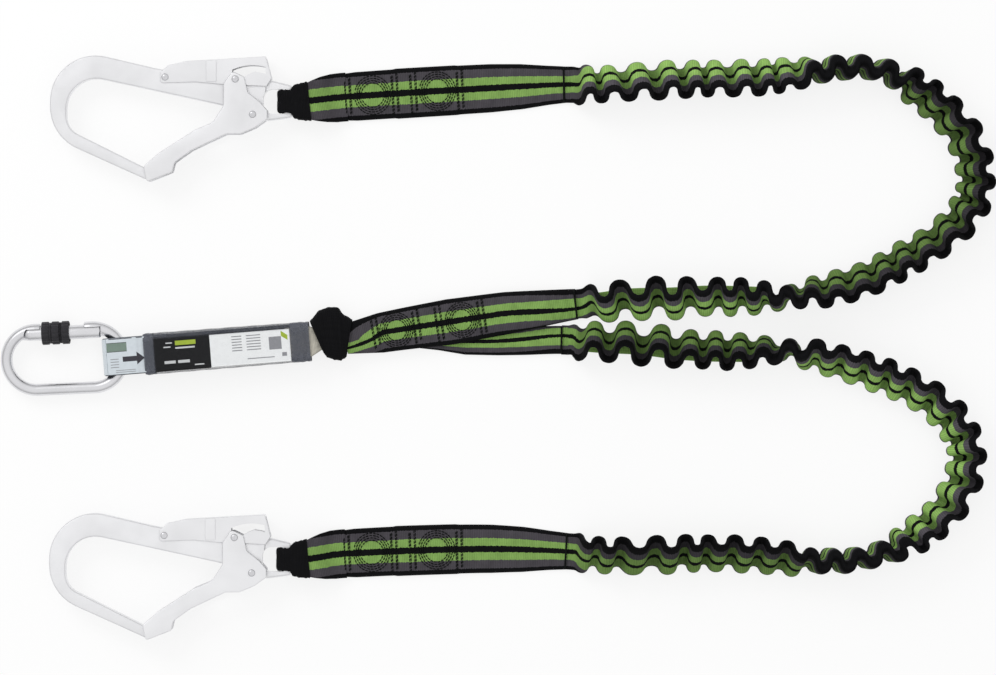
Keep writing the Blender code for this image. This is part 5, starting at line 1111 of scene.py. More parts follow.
def makeHookLoop(leg):
    side, plan, run = hookLoopLine(leg)
    centres, across, up, line, length = alongLoop(side, plan, loop["rings"])
    widths = np.interp(line[:, 0] / run, *loop["widths"])
    grid, share = sweepTape(centres, across, up, widths, loop["thickness"])
    flat = share * widths[:, None] / 2
    name = leg + "_hook_loop_webbing"
    tape = ringPiece(name, grid, finishes["striped"], np.linspace(0, length, len(grid)), flat)
    settle(tape, "green_webbing", leg + "_hook_loop")

    # sleeve: a black tubular cover, bunched up towards the bar, with wrinkles across it
    cut = run * loop["sleeveTo"]
    kept = side[side[:, 0] <= cut]
    first = np.array([[cut, np.interp(cut, side[:6, 0][::-1], side[:6, 1][::-1])]])
    last = np.array([[cut, np.interp(cut, side[-5:, 0], side[-5:, 1])]])
    centres, across, up, line, length = alongLoop(np.vstack([first, kept, last]), plan, loop["sleeveRings"])
    holdIn = loop["wall"] + loop["seat"]
    outer = np.interp(line[:, 0] / run, *loop["sleeveWidths"])
    along = np.linspace(0, length, len(line))[:, None]
    grid, share = sweepTape(centres, across, up, outer, loop["thickness"] + 2 * holdIn)
    phaseBend = 2.2 * np.sin(2.5 * share + 1) + 1.3 * np.sin(9 * share)
    wrinkle = loop["wrinkle"] * ripples(along, loop["wrinklePitch"], phaseBend)
    wrinkle = wrinkle + loop["fineWrinkle"] * ripples(along, loop["finePitch"], 5 * share)
    grid = grid + unit(grid - centres[:, None, :]) * (wrinkle - loop["wrinkleIn"])[..., None]
    grid[..., 2] = np.maximum(grid[..., 2], loop["lowest"])
    inner, _ = sweepTape(centres, across, up, outer - 2 * loop["wall"], loop["thickness"] + 2 * loop["seat"])
    sleeve = tubePiece(leg + "_hook_sleeve", grid, inner, finishes["sleeveFabric"], along[:, 0], share)
    settle(sleeve, "dark_webbing", leg + "_hook_wear_sleeve")


def tubePiece(name, outer, inner, material, run, share):
    # an open sleeve with a wall: the outer skin, then the bore run backwards, joined at both ends
    grid = np.concatenate([outer, inner[::-1]], axis=0)
    along = np.concatenate([run, run[::-1]])
    return ringPiece(name, grid, material, along, np.concatenate([share, share[::-1]]) * 20 * mm, True)


for legName in ("leg_a", "leg_b"):
    makeHookLoop(legName)
print("hook loops ready")


# Plates and turned pieces for the metalwork


def roundedOutline(corners, step=np.radians(5)):
    # corners are x, y and radius: arcs tangent to both sides of a corner
    outline = []
    for i, (x, y, radius) in enumerate(corners):
        here = np.array([x, y])
        back = unit(np.array(corners[i - 1][:2]) - here)
        ahead = unit(np.array(corners[(i + 1) % len(corners)][:2]) - here)
        half = np.arccos(np.clip(back @ ahead, -1, 1)) / 2
        if radius <= 0 or half > np.radians(89):
            outline.append(here[None])
            continue
        centre = here + unit(back + ahead) * radius / np.sin(half)
        start = here + back * radius / np.tan(half) - centre
        swept = np.pi - 2 * half
        if start[0] * (here - centre)[1] - start[1] * (here - centre)[0] < 0:
            swept = -swept
        turn = swept * np.linspace(0, 1, max(3, int(np.ceil(abs(swept) / step))) + 1)
        c, s = np.cos(turn), np.sin(turn)
        outline.append(centre + np.stack([c * start[0] - s * start[1], s * start[0] + c * start[1]], axis=1))
    outline = np.concatenate(outline)
    return outline[np.linalg.norm(outline - np.roll(outline, 1, axis=0), axis=1) > 0.02 * mm]


def roundedBox(x0, x1, y0, y1, radius):
    return roundedOutline([(x0, y0, radius), (x1, y0, radius), (x1, y1, radius), (x0, y1, radius)])


def dome(radius, base, rise, tip, steps):
    # the profile of a low dome from its rim up; a small flat is left at its tip, so that no points meet there
    a = np.linspace(0, np.pi / 2, steps)
    profile = np.stack([radius * np.cos(a), base + rise * np.sin(a)], axis=1)
    profile[-1, 0] = tip
    return profile


def bothEnds(half):
    return np.vstack([half[::-1] * (1, -1), half])


def arcPoints(centre, radius, start, end, count):
    turn = np.linspace(start, end, count + 1)
    return np.stack([centre[0] + radius * np.cos(turn), centre[1] + radius * np.sin(turn)], axis=1)


def placed(points, place):
    # place is an origin and three axes, as rows
    return place[0] + points @ place[1:]


def atPoint(x, y, z):
    return np.array([(x, y, z), (1, 0, 0), (0, 1, 0), (0, 0, 1.0)])


def platePiece(name, outline, half, bevel, material, place):
    # a plate from -half to half, whose rims are quarter rounds: inset b (1 - cos a) at b (1 - sin a) below
    # its face
    outline = np.asarray(outline, float)
    following = np.roll(outline, -1, axis=0)
    ahead = unit(following - outline)
    area = np.sum(outline[:, 0] * following[:, 1] - outline[:, 1] * following[:, 0])
    out = np.stack([ahead[:, 1], -ahead[:, 0]], axis=1) * np.sign(area)
    mitre = unit(out + np.roll(out, 1, axis=0))
    mitre = mitre / np.clip(np.sum(mitre * out, axis=1, keepdims=True), 0.6, 1)
    turn = np.linspace(0, np.pi / 2, 5) if bevel else np.array([0.0])
    inset, drop = bevel * (1 - np.cos(turn)), bevel * (1 - np.sin(turn))
    insets = np.concatenate([inset[::-1], inset])
    heights = np.concatenate([drop[::-1] - half, half - drop])
    rings = outline[None] - mitre[None] * insets[:, None, None]
    obj = ringPiece(name, placed(flat3(rings, heights[:, None, None]), place), material)
    # its two faces, the last ones, stay flat
    polygons = obj.data.polygons
    polygons.foreach_set("use_smooth", np.arange(len(polygons)) < len(polygons) - 2)
    return obj


def turnedPiece(name, profile, material, place, sides=36):
    # a piece of revolution about the place's Z: each ring is a radius and a height
    profile = np.asarray(profile, float)
    turn = fullTurn(sides)
    radius = profile[:, :1] * np.ones(sides)
    grid = np.stack([radius * np.cos(turn), radius * np.sin(turn), profile[:, 1:] * np.ones(sides)], axis=-1)
    obj = ringPiece(name, placed(grid, place), material)
    keepEdgesSharp(obj)
    return obj


def carve(obj, cutter, operation="DIFFERENCE"):
    modifier = obj.modifiers.new("carve", "BOOLEAN")
    modifier.operation = operation
    modifier.solver = "EXACT"
    modifier.object = cutter
    result = bpy.data.meshes.new_from_object(obj.evaluated_get(bpy.context.evaluated_depsgraph_get()))
    old = obj.data
    material = old.materials[0]
    obj.modifiers.clear()
    obj.data = result
    bpy.data.meshes.remove(old)
    bpy.data.objects.remove(cutter)
    result.materials.clear()
    result.materials.append(material)
    result.polygons.foreach_set("material_index", np.zeros(len(result.polygons), np.int32))


def keepEdgesSharp(obj):
    # edges that turn by more than this stay sharp
    obj.data.set_sharp_from_angle(angle=np.radians(35))


# Link: the legs' bight through the absorber's rear loop, under a wear sleeve

link = {
    # the sleeve's coarse and fine wrinkles
    "wrinkle": 0.25 * mm,
    "wrinklePitch": 6.5 * mm,
    "fineWrinkle": 0.12 * mm,
    "finePitch": 3.3 * mm,
    "bightDiameter": 6.8 * mm,
    "bightHeight": 8.8 * mm,
    "bightOut": 11.0 * mm,  # how far its two sides are from its middle
    "bightTurn": 3.6 * mm,
    "bightShort": 3.5 * mm,  # how far it stops short of the fork sections' ends
    "bightLift": {"leg_a": 1.5 * mm, "leg_b": -3.6 * mm},
    "wall": 1.3 * mm,
    "length": 30 * mm,
    "wrinkleIn": 0.3 * mm,
    "rings": 90,
    "around": 72,
    "boxPower": 0.62,
    # the sleeve's top and bottom edge in the photo, and its height there
    "stations": [
        ((-0.1587, 0.0208), (-0.1467, -0.0065), 0.0227),
        ((-0.1517, 0.0293), (-0.1441, -0.0100), 0.0215),
        ((-0.1449, 0.0323), (-0.1390, -0.0121), 0.0200),
        ((-0.1357, 0.0328), (-0.1330, -0.0131), 0.0186),
        ((-0.1300, 0.0268), (-0.1300, -0.0117), 0.0170),
        ((-0.1226, 0.0226), (-0.1278, -0.0103), 0.0154),
    ],
}


def squareRound(turn, power):
    # the cosine and sine of a circle, both drawn out towards 1, so that the section is a rounded box
    return [np.sign(wave) * np.abs(wave) ** power for wave in (np.cos(turn), np.sin(turn))]


def makeLinkSleeve():
    # a rounded box section carried through the stations, with folds that run across it
    stations = np.array([[*top, *low, height] for top, low, height in link["stations"]])
    fine, _, _ = smoothRoute(stations, link["rings"])
    top, low, height = fine[:, :2], fine[:, 2:4], fine[:, 4]
    across = flat3(unit(top - low))
    width = np.linalg.norm(top - low, axis=1)
    centre = flat3((top + low) / 2)
    centre[:, 2] = height / 2
    turn = fullTurn(link["around"])
    cosine, sine = squareRound(turn, link["boxPower"])
    up = np.array([0, 0, 1.0])

    def skin(inset):
        x = cosine * (width[:, None] / 2 - inset)
        z = sine * (height[:, None] / 2 - inset)
        return centre[:, None, :] + across[:, None, :] * x[..., None] + up * z[..., None]

    share = np.broadcast_to(turn / np.pi - 1, (len(fine), len(turn)))
    run = np.linspace(0, link["length"], len(fine))
    outer = skin(link["wrinkleIn"])
    wrinkle = link["wrinkle"] * ripples(run[:, None], link["wrinklePitch"], 1.6 * np.sin(2 * turn + 0.5))
    wrinkle = wrinkle + link["fineWrinkle"] * ripples(run[:, None], link["finePitch"], 5 * np.sin(turn))
    outer = outer + unit(outer - centre[:, None, :]) * wrinkle[..., None]
    outer[..., 2] = np.maximum(outer[..., 2], 0.0)
    sleeve = tubePiece("link_sleeve", outer, skin(link["wall"]), finishes["sleeveFabric"], run, share)
    settle(sleeve, "dark_webbing", "link_wear_sleeve")


def rearMouth():
    # the rear loop's bend: its centre on the pack's X, and its radius at the middle of the tape
    radius = link["bightDiameter"] / 2 + 2 * pack["seat"] + pack["tape"] / 2
    return pack["length"] / 2 + pack["rearReach"] - radius - pack["tape"] / 2, radius


def makeBight():
    # the legs' webbing rolled to a round bar where it passes through the rear loop, in the link's own curve
    r, out, turn = link["bightDiameter"] / 2, link["bightOut"], link["bightTurn"]
    at = fromPack((rearMouth()[0], 0, link["bightHeight"]))
    path = []
    for hand, leg in ((1, "leg_a"), (-1, "leg_b")):
        far, lift = forks[leg][-1][0] - at[0], link["bightLift"][leg]
        points = [
            (far - link["bightShort"], hand * out, lift),
            (turn + (far - turn) * 0.3, hand * out, lift * 0.9),
            (turn, hand * out, lift * 0.15),
            (turn * 0.3, hand * (out - turn * 0.3), 0),
            (0, hand * (out - turn), 0),
        ]
        path += points if hand > 0 else points[::-1]
    line, ahead, length = smoothRoute(np.array(path) + at, link["rings"])
    aside = unit(np.cross(ahead, (0, 0, 1.0)))
    around = fullTurn(28)
    rise = np.cross(aside, ahead)
    ring = aside[:, None] * np.cos(around)[:, None] + rise[:, None] * np.sin(around)[:, None]
    grid = line[:, None] + r * ring
    along = np.linspace(0, length, len(line))
    obj = ringPiece("link_bight_webbing", grid, finishes["blackWebbing"], along, around * r)
    settle(obj, "dark_webbing", "link_bight")


# Absorber, on its own long axis with +X to the legs

pack = {
    "at": (-0.2287, -0.0020),
    "heading": np.radians(4.5),
    "length": 141 * mm,
    "width": 36 * mm,
    "height": 22.1 * mm,
    "stations": ([-1.0, -0.93, 0.0, 0.93, 1.0], [0.985, 1.0, 0.985, 0.96, 0.945]),
    "boxPower": 0.34,
    "filmRings": 260,
    "filmAround": 128,
    "filmShare": 0.012,  # the film's thickness as a share of the way to the pack's middle
    "crinkleIn": 0.3 * mm,
    # from which share of the half length or width, and over how much of it, the film's ends and long edges
    # turn grey
    "hazeLeft": (0.865, 0.03),
    "hazeRight": (0.76, 0.02),
    "hazeUpper": (0.66, 0.14),
    "hazeLower": (0.88, 0.08),
    "hazeEdges": 0.42,
    "tape": 1.7 * mm,
    "seat": 0.3 * mm,
    "frontReach": 35.7 * mm,  # how far each loop reaches past the pack's end
    "rearReach": 25 * mm,
    "tailIn": 20 * mm,  # and how far its tails run into the pack
    "labelIn": 1.2 * mm,
    "ceiling": 20.45 * mm,
    "tailLow": 1.95 * mm,
    "tailHigh": 19.45 * mm,
    "cardBase": 20.6 * mm,
    "frontLoopWidth": 32 * mm,
    # each card on the pack's own axes: from x, to x, half width, middle's y
    "blackCard": (-62.0 * mm, -14.4 * mm, 14.9 * mm, -1.0 * mm),
    "whiteCard": (-14.1 * mm, 53.9 * mm, 13.7 * mm, -1.6 * mm),
    "labelWidth": 30.5 * mm,
    "rearLoopWidth": 26 * mm,
    "rearLoopGathered": 14 * mm,
    "cardThickness": 0.4 * mm,
    "cardCorner": 0.6 * mm,
    "inkUnder": 0.03 * mm,
    "inkOver": 0.05 * mm,
    "folds": {
        "layers": 6, "pitch": 2.6 * mm, "base": 4.2 * mm, "thickness": 2.2 * mm, "width": 31 * mm,
        "short": 4 * mm, "rings": 420,
    },
}


def fromPack(points):
    # from the absorber's own axes to the lanyard's
    points = np.asarray(points, float)
    c, s = np.cos(pack["heading"]), np.sin(pack["heading"])
    x = pack["at"][0] + c * points[..., 0] - s * points[..., 1]
    y = pack["at"][1] + s * points[..., 0] + c * points[..., 1]
    return np.stack([x, y, points[..., 2]], axis=-1)


def sweepSide(line, ahead, widths, thickness, offset=0.0):
    # a tape along a curve of (x, z) on the pack, with its width along Y and its middle line set off by offset
    up = np.stack([-ahead[:, 1], np.zeros(len(line)), ahead[:, 0]], axis=1)
    centres = np.stack([line[:, 0], np.zeros(len(line)), line[:, 1]], axis=1) + up * offset
    across = np.broadcast_to(np.array([0.0, 1.0, 0.0]), centres.shape)
    grid, share = sweepTape(centres, across, up, widths, thickness)
    return fromPack(grid), share


def ribbonPiece(name, side, widths, thickness, finish, node, slot, offset=0.0):
    # widths are places on X, and the tape's widths there
    line, ahead, length = profileRoute(side, 120)
    grid, share = sweepSide(line, ahead, np.interp(line[:, 0], *widths), thickness, offset)
    along = np.linspace(0, length, len(grid))
    settle(ringPiece(name, grid, finishes[finish], along, share * 20 * mm), slot, node)


def halfEllipse(centre, halfLength, halfHeight, start, count):
    turn = start + np.pi * np.arange(count + 1) / count
    return np.stack([centre[0] + halfLength * np.cos(turn), centre[1] + halfHeight * np.sin(turn)], axis=1)


def makeLoops():
    tape, seat, card = pack["tape"], pack["seat"], pack["cardThickness"]
    tailIn, tailLow, tailHigh = pack["tailIn"], pack["tailLow"], pack["tailHigh"]
    end = -pack["length"] / 2
    low, high = tape / 2, max(pack["ceiling"] + tape / 2, tailHigh)
    middle, tall = (low + high) / 2, (high - low) / 2
    deep = tall * 0.5
    mouth = end - pack["frontReach"] + tape / 2 + seat + card + deep
    top = [
        (end + tailIn, tailHigh), (end - seat, tailHigh),
        (end - 4 * mm, (tailHigh + high) / 2), (end - 9 * mm, high),
    ]
    bend = halfEllipse((mouth, middle), deep, tall, np.pi / 2, 12)
    bottom = [
        (end - 8 * mm, low), (end - 3 * mm, (low + tailLow) / 2),
        (end - seat, tailLow), (end + tailIn, tailLow),
    ]
    side = np.vstack([top, bend, bottom])
    widths = ([0], [pack["frontLoopWidth"]])
    nodeAndSlot = ("absorber_front_loop", "grey_webbing")
    ribbonPiece("front_loop_webbing", side, widths, tape, "greyWebbing", *nodeAndSlot)

    # the label lies outside the loop, from the film over two thirds of its bend
    side = np.vstack([[(end + pack["labelIn"], tailHigh)], top[1:], bend[: len(bend) * 2 // 3]])
    out = tape / 2 + seat + card / 2
    widths = ([0], [pack["labelWidth"]])
    ribbonPiece("front_tag", side, widths, card, "tagFilm", "front_loop_label", "pale_label", -out)
    makeTagPrint(side, out + card / 2)

    end = pack["length"] / 2
    mouth, tall = rearMouth()
    halfWay = (end + mouth) / 2
    upper = (tailHigh + link["bightHeight"] + tall) / 2
    lower = (tailLow + link["bightHeight"] - tall) / 2
    top = [(end - tailIn, tailHigh), (end, tailHigh), (halfWay, upper)]
    bend = halfEllipse((mouth, link["bightHeight"]), tall, tall, -np.pi / 2, 10)[::-1]
    bottom = [(halfWay, lower + seat), (end, tailLow), (end - tailIn, tailLow)]
    gathered = pack["rearLoopGathered"]
    widths = ([end, halfWay, mouth], [pack["rearLoopWidth"], gathered * 1.1, gathered])
    side = np.vstack([top, bend, bottom])
    nodeAndSlot = ("absorber_rear_loop", "cream_webbing")
    ribbonPiece("rear_loop_webbing", side, widths, tape, "creamWebbing", *nodeAndSlot)


def inkPiece(name, patches, heightOf, finish):
    # patches of thin print: each runs from x0 to x1, and from its low to its high y at both ends
    stations, patches = 8, np.array(patches) * mm
    t = np.linspace(0, 1, stations)
    x0, x1, lowStart, highStart, lowEnd, highEnd = (patches[:, k : k + 1] for k in range(6))
    x = x0 + (x1 - x0) * t
    low, high = lowStart + (lowEnd - lowStart) * t, highStart + (highEnd - highStart) * t
    under, over = heightOf(x) - pack["inkUnder"], heightOf(x) + pack["inkOver"]
    corners = [(low, under), (high, under), (high, over), (low, over)]
    grid = np.stack([np.stack([x, y, height], axis=-1) for y, height in corners], axis=2)
    one = np.vstack([gridFaces(stations, 4, True), [[3, 2, 1, 0], np.arange(4) + 4 * (stations - 1)]])
    faces = (one[None] + 4 * stations * np.arange(len(patches))[:, None, None]).reshape(-1, 4)
    obj = meshPiece(name, fromPack(grid).reshape(-1, 3), faces, finishes[finish], smooth=False)
    faceOutwards(obj)
    settle(obj, "pale_label", body="webbing")


def band(x0, x1, low, high):
    return (x0, x1, low, high, low, high)


def makeTagPrint(side, rise):
    # a plain coloured field, an arrow towards the pack and thin rules, on the tag's upper side
    line, ahead, _ = profileRoute(side, 200)
    upper = ahead[:, 0] < -0.2
    x = (line[:, 0] - ahead[:, 1] * -rise)[upper][::-1]
    z = (line[:, 1] + ahead[:, 0] * -rise)[upper][::-1]

    def heightOf(where):
        return np.interp(where, x, z)

    inkPiece("tag_print_green", [band(-101.5, -84.5, 4.2, 11.3)], heightOf, "tagGreen")
    dark = [band(-88.5, -76.5, -4.9, -0.6), (-76.5, -70.2, -8.0, 2.9, -2.9, -2.5)]
    dark += [band(-101.5, -84.5, 11.3, 11.7), band(-101.5, -84.5, 3.8, 4.2), band(-104.0, -71.0, 14.5, 15.1)]
    inkPiece("tag_print_dark", dark, heightOf, "tagDark")
    rules = [band(-99.0, -92.0, y, y + 0.6) for y in (-9.5, -7.2, -4.9, -2.6)]
    rules += [band(-95.0, -78.0, y, y + 0.5) for y in (-12.2, -13.8)]
    inkPiece("tag_print_rules", rules, heightOf, "inkGrey")


def makeCards():
    # two printed cards on the folds, under the film: plain fields, bars and rules, with no lettering
    thick = pack["cardThickness"]
    top = pack["cardBase"] + thick
    for name, key, slot, node in (
        ("black_card_sheet", "blackCard", "black_card", "front_label_card"),
        ("white_card_sheet", "whiteCard", "white_card", "rear_label_card"),
    ):
        x0, x1, half, middle = pack[key]
        outline = roundedBox(x0, x1, middle - half, middle + half, pack["cardCorner"])
        place = np.vstack([fromPack((0, 0, top - thick / 2)), fromPack(np.eye(3)) - fromPack(np.zeros(3))])
        place[3] = (0, 0, 1)
        settle(platePiece(name, outline, thick / 2, 0, finishes[key], place), slot, node)

    def heightOf(x):
        return np.full_like(x, top)

    lime = [band(-43.5, -26.0, 5.6, 9.4), (46.5, 52.0, 6.6, 11.0, 2.6, 7.0)]
    inkPiece("card_print_lime", lime, heightOf, "inkLime")
    white = [band(-43.5, -27.0, 2.6, 4.0), band(-53.5, -44.0, -9.6, -7.2), band(-42.0, -32.0, -9.6, -7.2)]
    white += [band(-53.5, -47.5, 4.0, 5.0), band(-51.5, -46.0, 7.4, 8.4), band(-28.0, -20.0, -12.4, -11.4)]
    inkPiece("card_print_white", white, heightOf, "inkWhite")
    rules = (8.6, 6.2, 3.8, 1.4, -1.0, -3.4)
    grey = [band(x0, x1, y, y + 0.8) for x0, x1 in ((4.5, 13.0), (17.0, 29.0)) for y in rules]
    grey += [band(36.0, 46.5, -4.4, 6.4), band(17.0, 40.0, -11.0, -10.2), band(46.5, 50.5, -10.6, -7.4)]
    inkPiece("card_print_grey", grey, heightOf, "inkGrey")


def makeFilm():
    # a rounded box section along the pack, crinkled near both ends
    share = np.linspace(-1, 1, pack["filmRings"])
    x = share * pack["length"] / 2
    width = pack["width"] * np.interp(share, *pack["stations"])
    turn = fullTurn(pack["filmAround"])
    cosine, sine = squareRound(turn, pack["boxPower"])
    middle = pack["height"] / 2
    y = cosine * width[:, None] / 2
    z = np.broadcast_to(middle * (1 + sine), y.shape).copy()
    atEnds = easeFrom(np.abs(share), 0.80, 0.2)[:, None]
    crinkle = ripples(x[:, None], 6.2 * mm, 1.5 * np.sin(3 * turn)) * 0.35 * mm * atEnds
    crinkle = crinkle + 0.12 * mm * ripples(x[:, None], 19 * mm, 2 * np.sin(2 * turn))
    away = unit(np.stack([y, z - middle], axis=-1))
    # haze: the gathered ends, and both long edges, where the film runs down the pack's sides
    along, aside = share[:, None], y / (width[:, None] / 2)
    ends = np.maximum(easeFrom(-along, *pack["hazeLeft"]), easeFrom(along, *pack["hazeRight"]))
    ends = ends * (0.72 + 0.28 * easeFrom(np.abs(aside), 0.3, 0.6))
    edges = np.maximum(easeFrom(aside, *pack["hazeUpper"]), 0.8 * easeFrom(-aside, *pack["hazeLower"]))
    haze = np.clip(np.maximum(ends, edges * pack["hazeEdges"]), 0, 1)
    y = y + away[..., 0] * (crinkle - pack["crinkleIn"])
    z = np.maximum(z + away[..., 1] * (crinkle - pack["crinkleIn"]), 0)
    grid = fromPack(np.stack([np.broadcast_to(x[:, None], y.shape), y, z], axis=-1))
    axis = fromPack(np.stack([x, 0 * x, 0 * x + middle], axis=-1))[:, None, :]
    inner = grid + (axis - grid) * pack["filmShare"]
    flat = np.broadcast_to(turn / np.pi - 1, y.shape)
    obj = tubePiece("absorber_film", grid, inner, finishes["film"], x - x[0], flat)
    pointValues(obj, "haze", np.concatenate([haze, haze[::-1]]))
    settle(obj, "clear_film", "absorber_cover")


def makeFoldedWebbing():
    # the tear webbing, folded back and forth in layers
    fold = pack["folds"]
    layers, pitch = fold["layers"], fold["pitch"]
    reach = pack["length"] / 2 - fold["short"] - pitch
    side = []
    for layer in range(layers):
        height, way = fold["base"] + layer * pitch, 1 if layer % 2 == 0 else -1
        side += [(-way * reach, height), (0.0, height), (way * reach, height)]
        if layer < layers - 1:
            for a in np.radians([45, 90, 135]):
                side.append((way * (reach + pitch / 2 * np.sin(a)), height + pitch / 2 * (1 - np.cos(a))))
    side = np.array(side)
    run = routeRun(side)
    fine = np.linspace(0, run[-1], fold["rings"])
    points = np.stack([np.interp(fine, run, side[:, k]) for k in (0, 1)], axis=1)
    ahead = unit(np.gradient(points, axis=0))
    grid, share = sweepSide(points, ahead, np.full(len(points), fold["width"]), fold["thickness"])
    obj = ringPiece("tear_webbing_folds", grid, finishes["blackWebbing"], fine, share * 16 * mm)
    settle(obj, "dark_webbing", "absorber_tear_webbing")


makeLinkSleeve()
makeBight()
makeLoops()
makeFoldedWebbing()
makeCards()
makeFilm()
print("absorber ready")


# Scaffold hooks, each in its own frame: from its eye bar's centre line, with +Y to the lever

hook = {
    "at": {"hook_a": (-0.1764, 0.2070), "hook_b": (-0.1772, -0.1818)},
    "height": 11.5 * mm,
    "bodyHalf": 6.0 * mm,
    "bodyBevel": 1.5 * mm,
    "lower": [
        (-0.2028, 0.0495, 0.039), (-0.2028, -0.0294, 0.039), (-0.1203, -0.0666, 0.003),
        (-0.1071, -0.0608, 0.002), (-0.1115, -0.0507, 0.002), (-0.1228, -0.0556, 0.002),
        (-0.1887, -0.0227, 0.017), (-0.1887, 0.0256, 0.0255), (-0.0536, -0.0036, 0.003),
        (-0.0417, -0.0179, 0.006), (-0.0208, -0.0183, 0.005),
    ],
    "upper": [(-0.0481, 0.0173, 0.0016), (-0.1139, 0.0286, 0.02)],
    "eye": [
        (-0.0300, 0.0165, 0.002), (-0.0300, -0.0160, 0.002), (-0.0162, -0.0160, 0.004),
        (0.0040, -0.0134, 0.0045), (0.0040, 0.0138, 0.0045), (-0.0145, 0.0183, 0.004),
    ],
    "eyeHalf": 4.1 * mm,
    "eyeBevel": 2.4 * mm,
    "opening": [
        (-0.0217, 0.0106, 0.008), (-0.0217, -0.0102, 0.008), (-0.0040, -0.0102, 0.0015),
        (-0.0040, 0.0106, 0.0015),
    ],
    "gateAxis": (-0.0304, -0.0110),
    "pinAt": (-0.0451, 0.0190),
    "leverAxis": (-0.1048, 0.0207),
    "gate": [
        (-0.0552, 0.0149, 0.0017), (-0.0476, 0.0259, 0.0038), (-0.0374, 0.0208, 0.0025),
        (-0.0344, 0.0076, 0.0051), (-0.0238, -0.0008, 0.0034), (-0.0178, -0.0076, 0.0017),
        (-0.0178, -0.0149, 0.0025), (-0.0281, -0.0221, 0.0034), (-0.0408, -0.0275, 0.0068),
        (-0.0525, -0.0275, 0.0068), (-0.0820, -0.0414, 0.0102), (-0.0967, -0.0518, 0.0051),
        (-0.0986, -0.0599, 0.0025), (-0.1203, -0.0684, 0.0021), (-0.1232, -0.0552, 0.0025),
        (-0.1096, -0.0434, 0.0034), (-0.0790, -0.0238, 0.0068), (-0.0643, -0.0178, 0.0102),
        (-0.0553, -0.0038, 0.0051),
    ],
    "gateInner": 8.4 * mm,
    "gateOuter": 10.2 * mm,
    "gateWeb": [(-0.0817, -0.0255), (-0.1096, -0.0434), (-0.1170, -0.0498)],
    "gateWebThickness": 1.9 * mm,
    "lever": [
        (-0.1090, 0.0157, 0.0025), (-0.1090, 0.0246, 0.0025), (-0.1024, 0.0308, 0.0017),
        (-0.0864, 0.0344, 0.0085), (-0.0688, 0.0354, 0.0068), (-0.0193, 0.0383, 0.0008),
        (-0.0144, 0.0196, 0.0017), (-0.0187, 0.0129, 0.0017), (-0.0569, 0.0146, 0.0034),
        (-0.0790, 0.0166, 0.0068),
    ],
    "leverInner": 6.5 * mm,
    "leverOuter": 8.0 * mm,
    "leverWeb": [(-0.0995, 0.0315), (-0.0864, 0.0344), (-0.0688, 0.0354), (-0.0193, 0.0383)],
    "leverWebThickness": 1.8 * mm,
    # the raised rib across the lever: from x, to x, from y, to y
    "rib": (-0.0700, -0.0612, 0.0168, 0.0350),
    "ribOuter": 8.9 * mm,
    "ribCorner": 1.0 * mm,
    "ribBevel": 0.4 * mm,
    "plateBevel": 0.9 * mm,
    "leverBevel": 0.6 * mm,
    "shoulderDrop": 4.0 * mm,
    "shoulderRadius": 30.2 * mm,
    "tongueRadius": 36.2 * mm,
    "windowRadius": 41.8 * mm,
    "windowRight": (0.0286, 0.0093),  # y and x of the way from the gate's axis to its right corner
    "windowLeft": 38.0 * mm,  # and how far its left corner is above the axis
    "pinReach": 3.7 * mm / 2 + 0.6 * mm,
    "opens": np.radians(30),
    "leverSwings": np.radians(4.25),
    "gateBore": 2.8 * mm,
    "leverBore": 2.2 * mm,
    "pinBore": 2.15 * mm,
    "recess": [(4.5 * mm, 3.1 * mm), (4.5 * mm, 20 * mm)],
    # each rivet's axis, its shank's radius and where its heads start
    "rivets": {
        "gate_rivet": ("gateAxis", 2.5 * mm, 10.3 * mm),
        "lever_rivet": ("leverAxis", 1.9 * mm, 8.1 * mm),
        "latch_pin": ("pinAt", 1.85 * mm, 10.3 * mm),
    },
    "headRadius": 3.1 * mm,
    "headHeight": 1.3 * mm,
    "headRim": 0.15 * mm,
    "headTip": 0.2 * mm,
}


def turnedAbout(point, centre, angle):
    c, s = np.cos(angle), np.sin(angle)
    return centre + np.array([[c, -s], [s, c]]) @ (point - centre)


def leverWindow():
    # the cam window: its top is an arc about the gate's axis, and its lower side is the latch pin's path over
    # the lever while both turn, set off by the pin's reach
    axis, pin, lever = (np.array(hook[key]) for key in ("gateAxis", "pinAt", "leverAxis"))
    cam = []
    for share in np.linspace(0, 1, 25):
        here, after, before = (
            turnedAbout(turnedAbout(pin, axis, -hook["opens"] * t), lever, hook["leverSwings"] * t)
            for t in (share, share + 0.01, share - 0.01)
        )
        way = unit(after - before)
        cam.append(here + np.array([way[1], -way[0]]) * hook["pinReach"])
    cam = np.array(cam)
    start = np.arctan2(*(cam[0] - pin)[::-1])
    pocket = arcPoints(pin, hook["pinReach"], start, -np.pi, 14)[1:]
    right = np.arctan2(*hook["windowRight"])
    left = np.pi - np.arcsin(hook["windowLeft"] / hook["windowRadius"])
    top = arcPoints(axis, hook["windowRadius"], left, right + np.radians(3), 24)
    end = cam[-1] - axis
    reach = min(hook["tongueRadius"], np.linalg.norm(end) - 0.0001)
    tongue = arcPoints(axis, reach, right, np.arctan2(end[1], end[0]) - np.radians(1), 12)
    return np.concatenate([top, tongue, cam[::-1], pocket])


def hookRivet(name, shank, headFrom, place):
    # a shank with a low domed head at each end
    rim, radius = hook["headRim"], hook["headRadius"]
    head = dome(radius, headFrom + rim, hook["headHeight"] - rim, hook["headTip"], 7)
    profile = bothEnds(np.vstack([[(shank, headFrom), (radius, headFrom)], head]))
    return turnedPiece(name, profile, finishes["rivetSteel"], place)


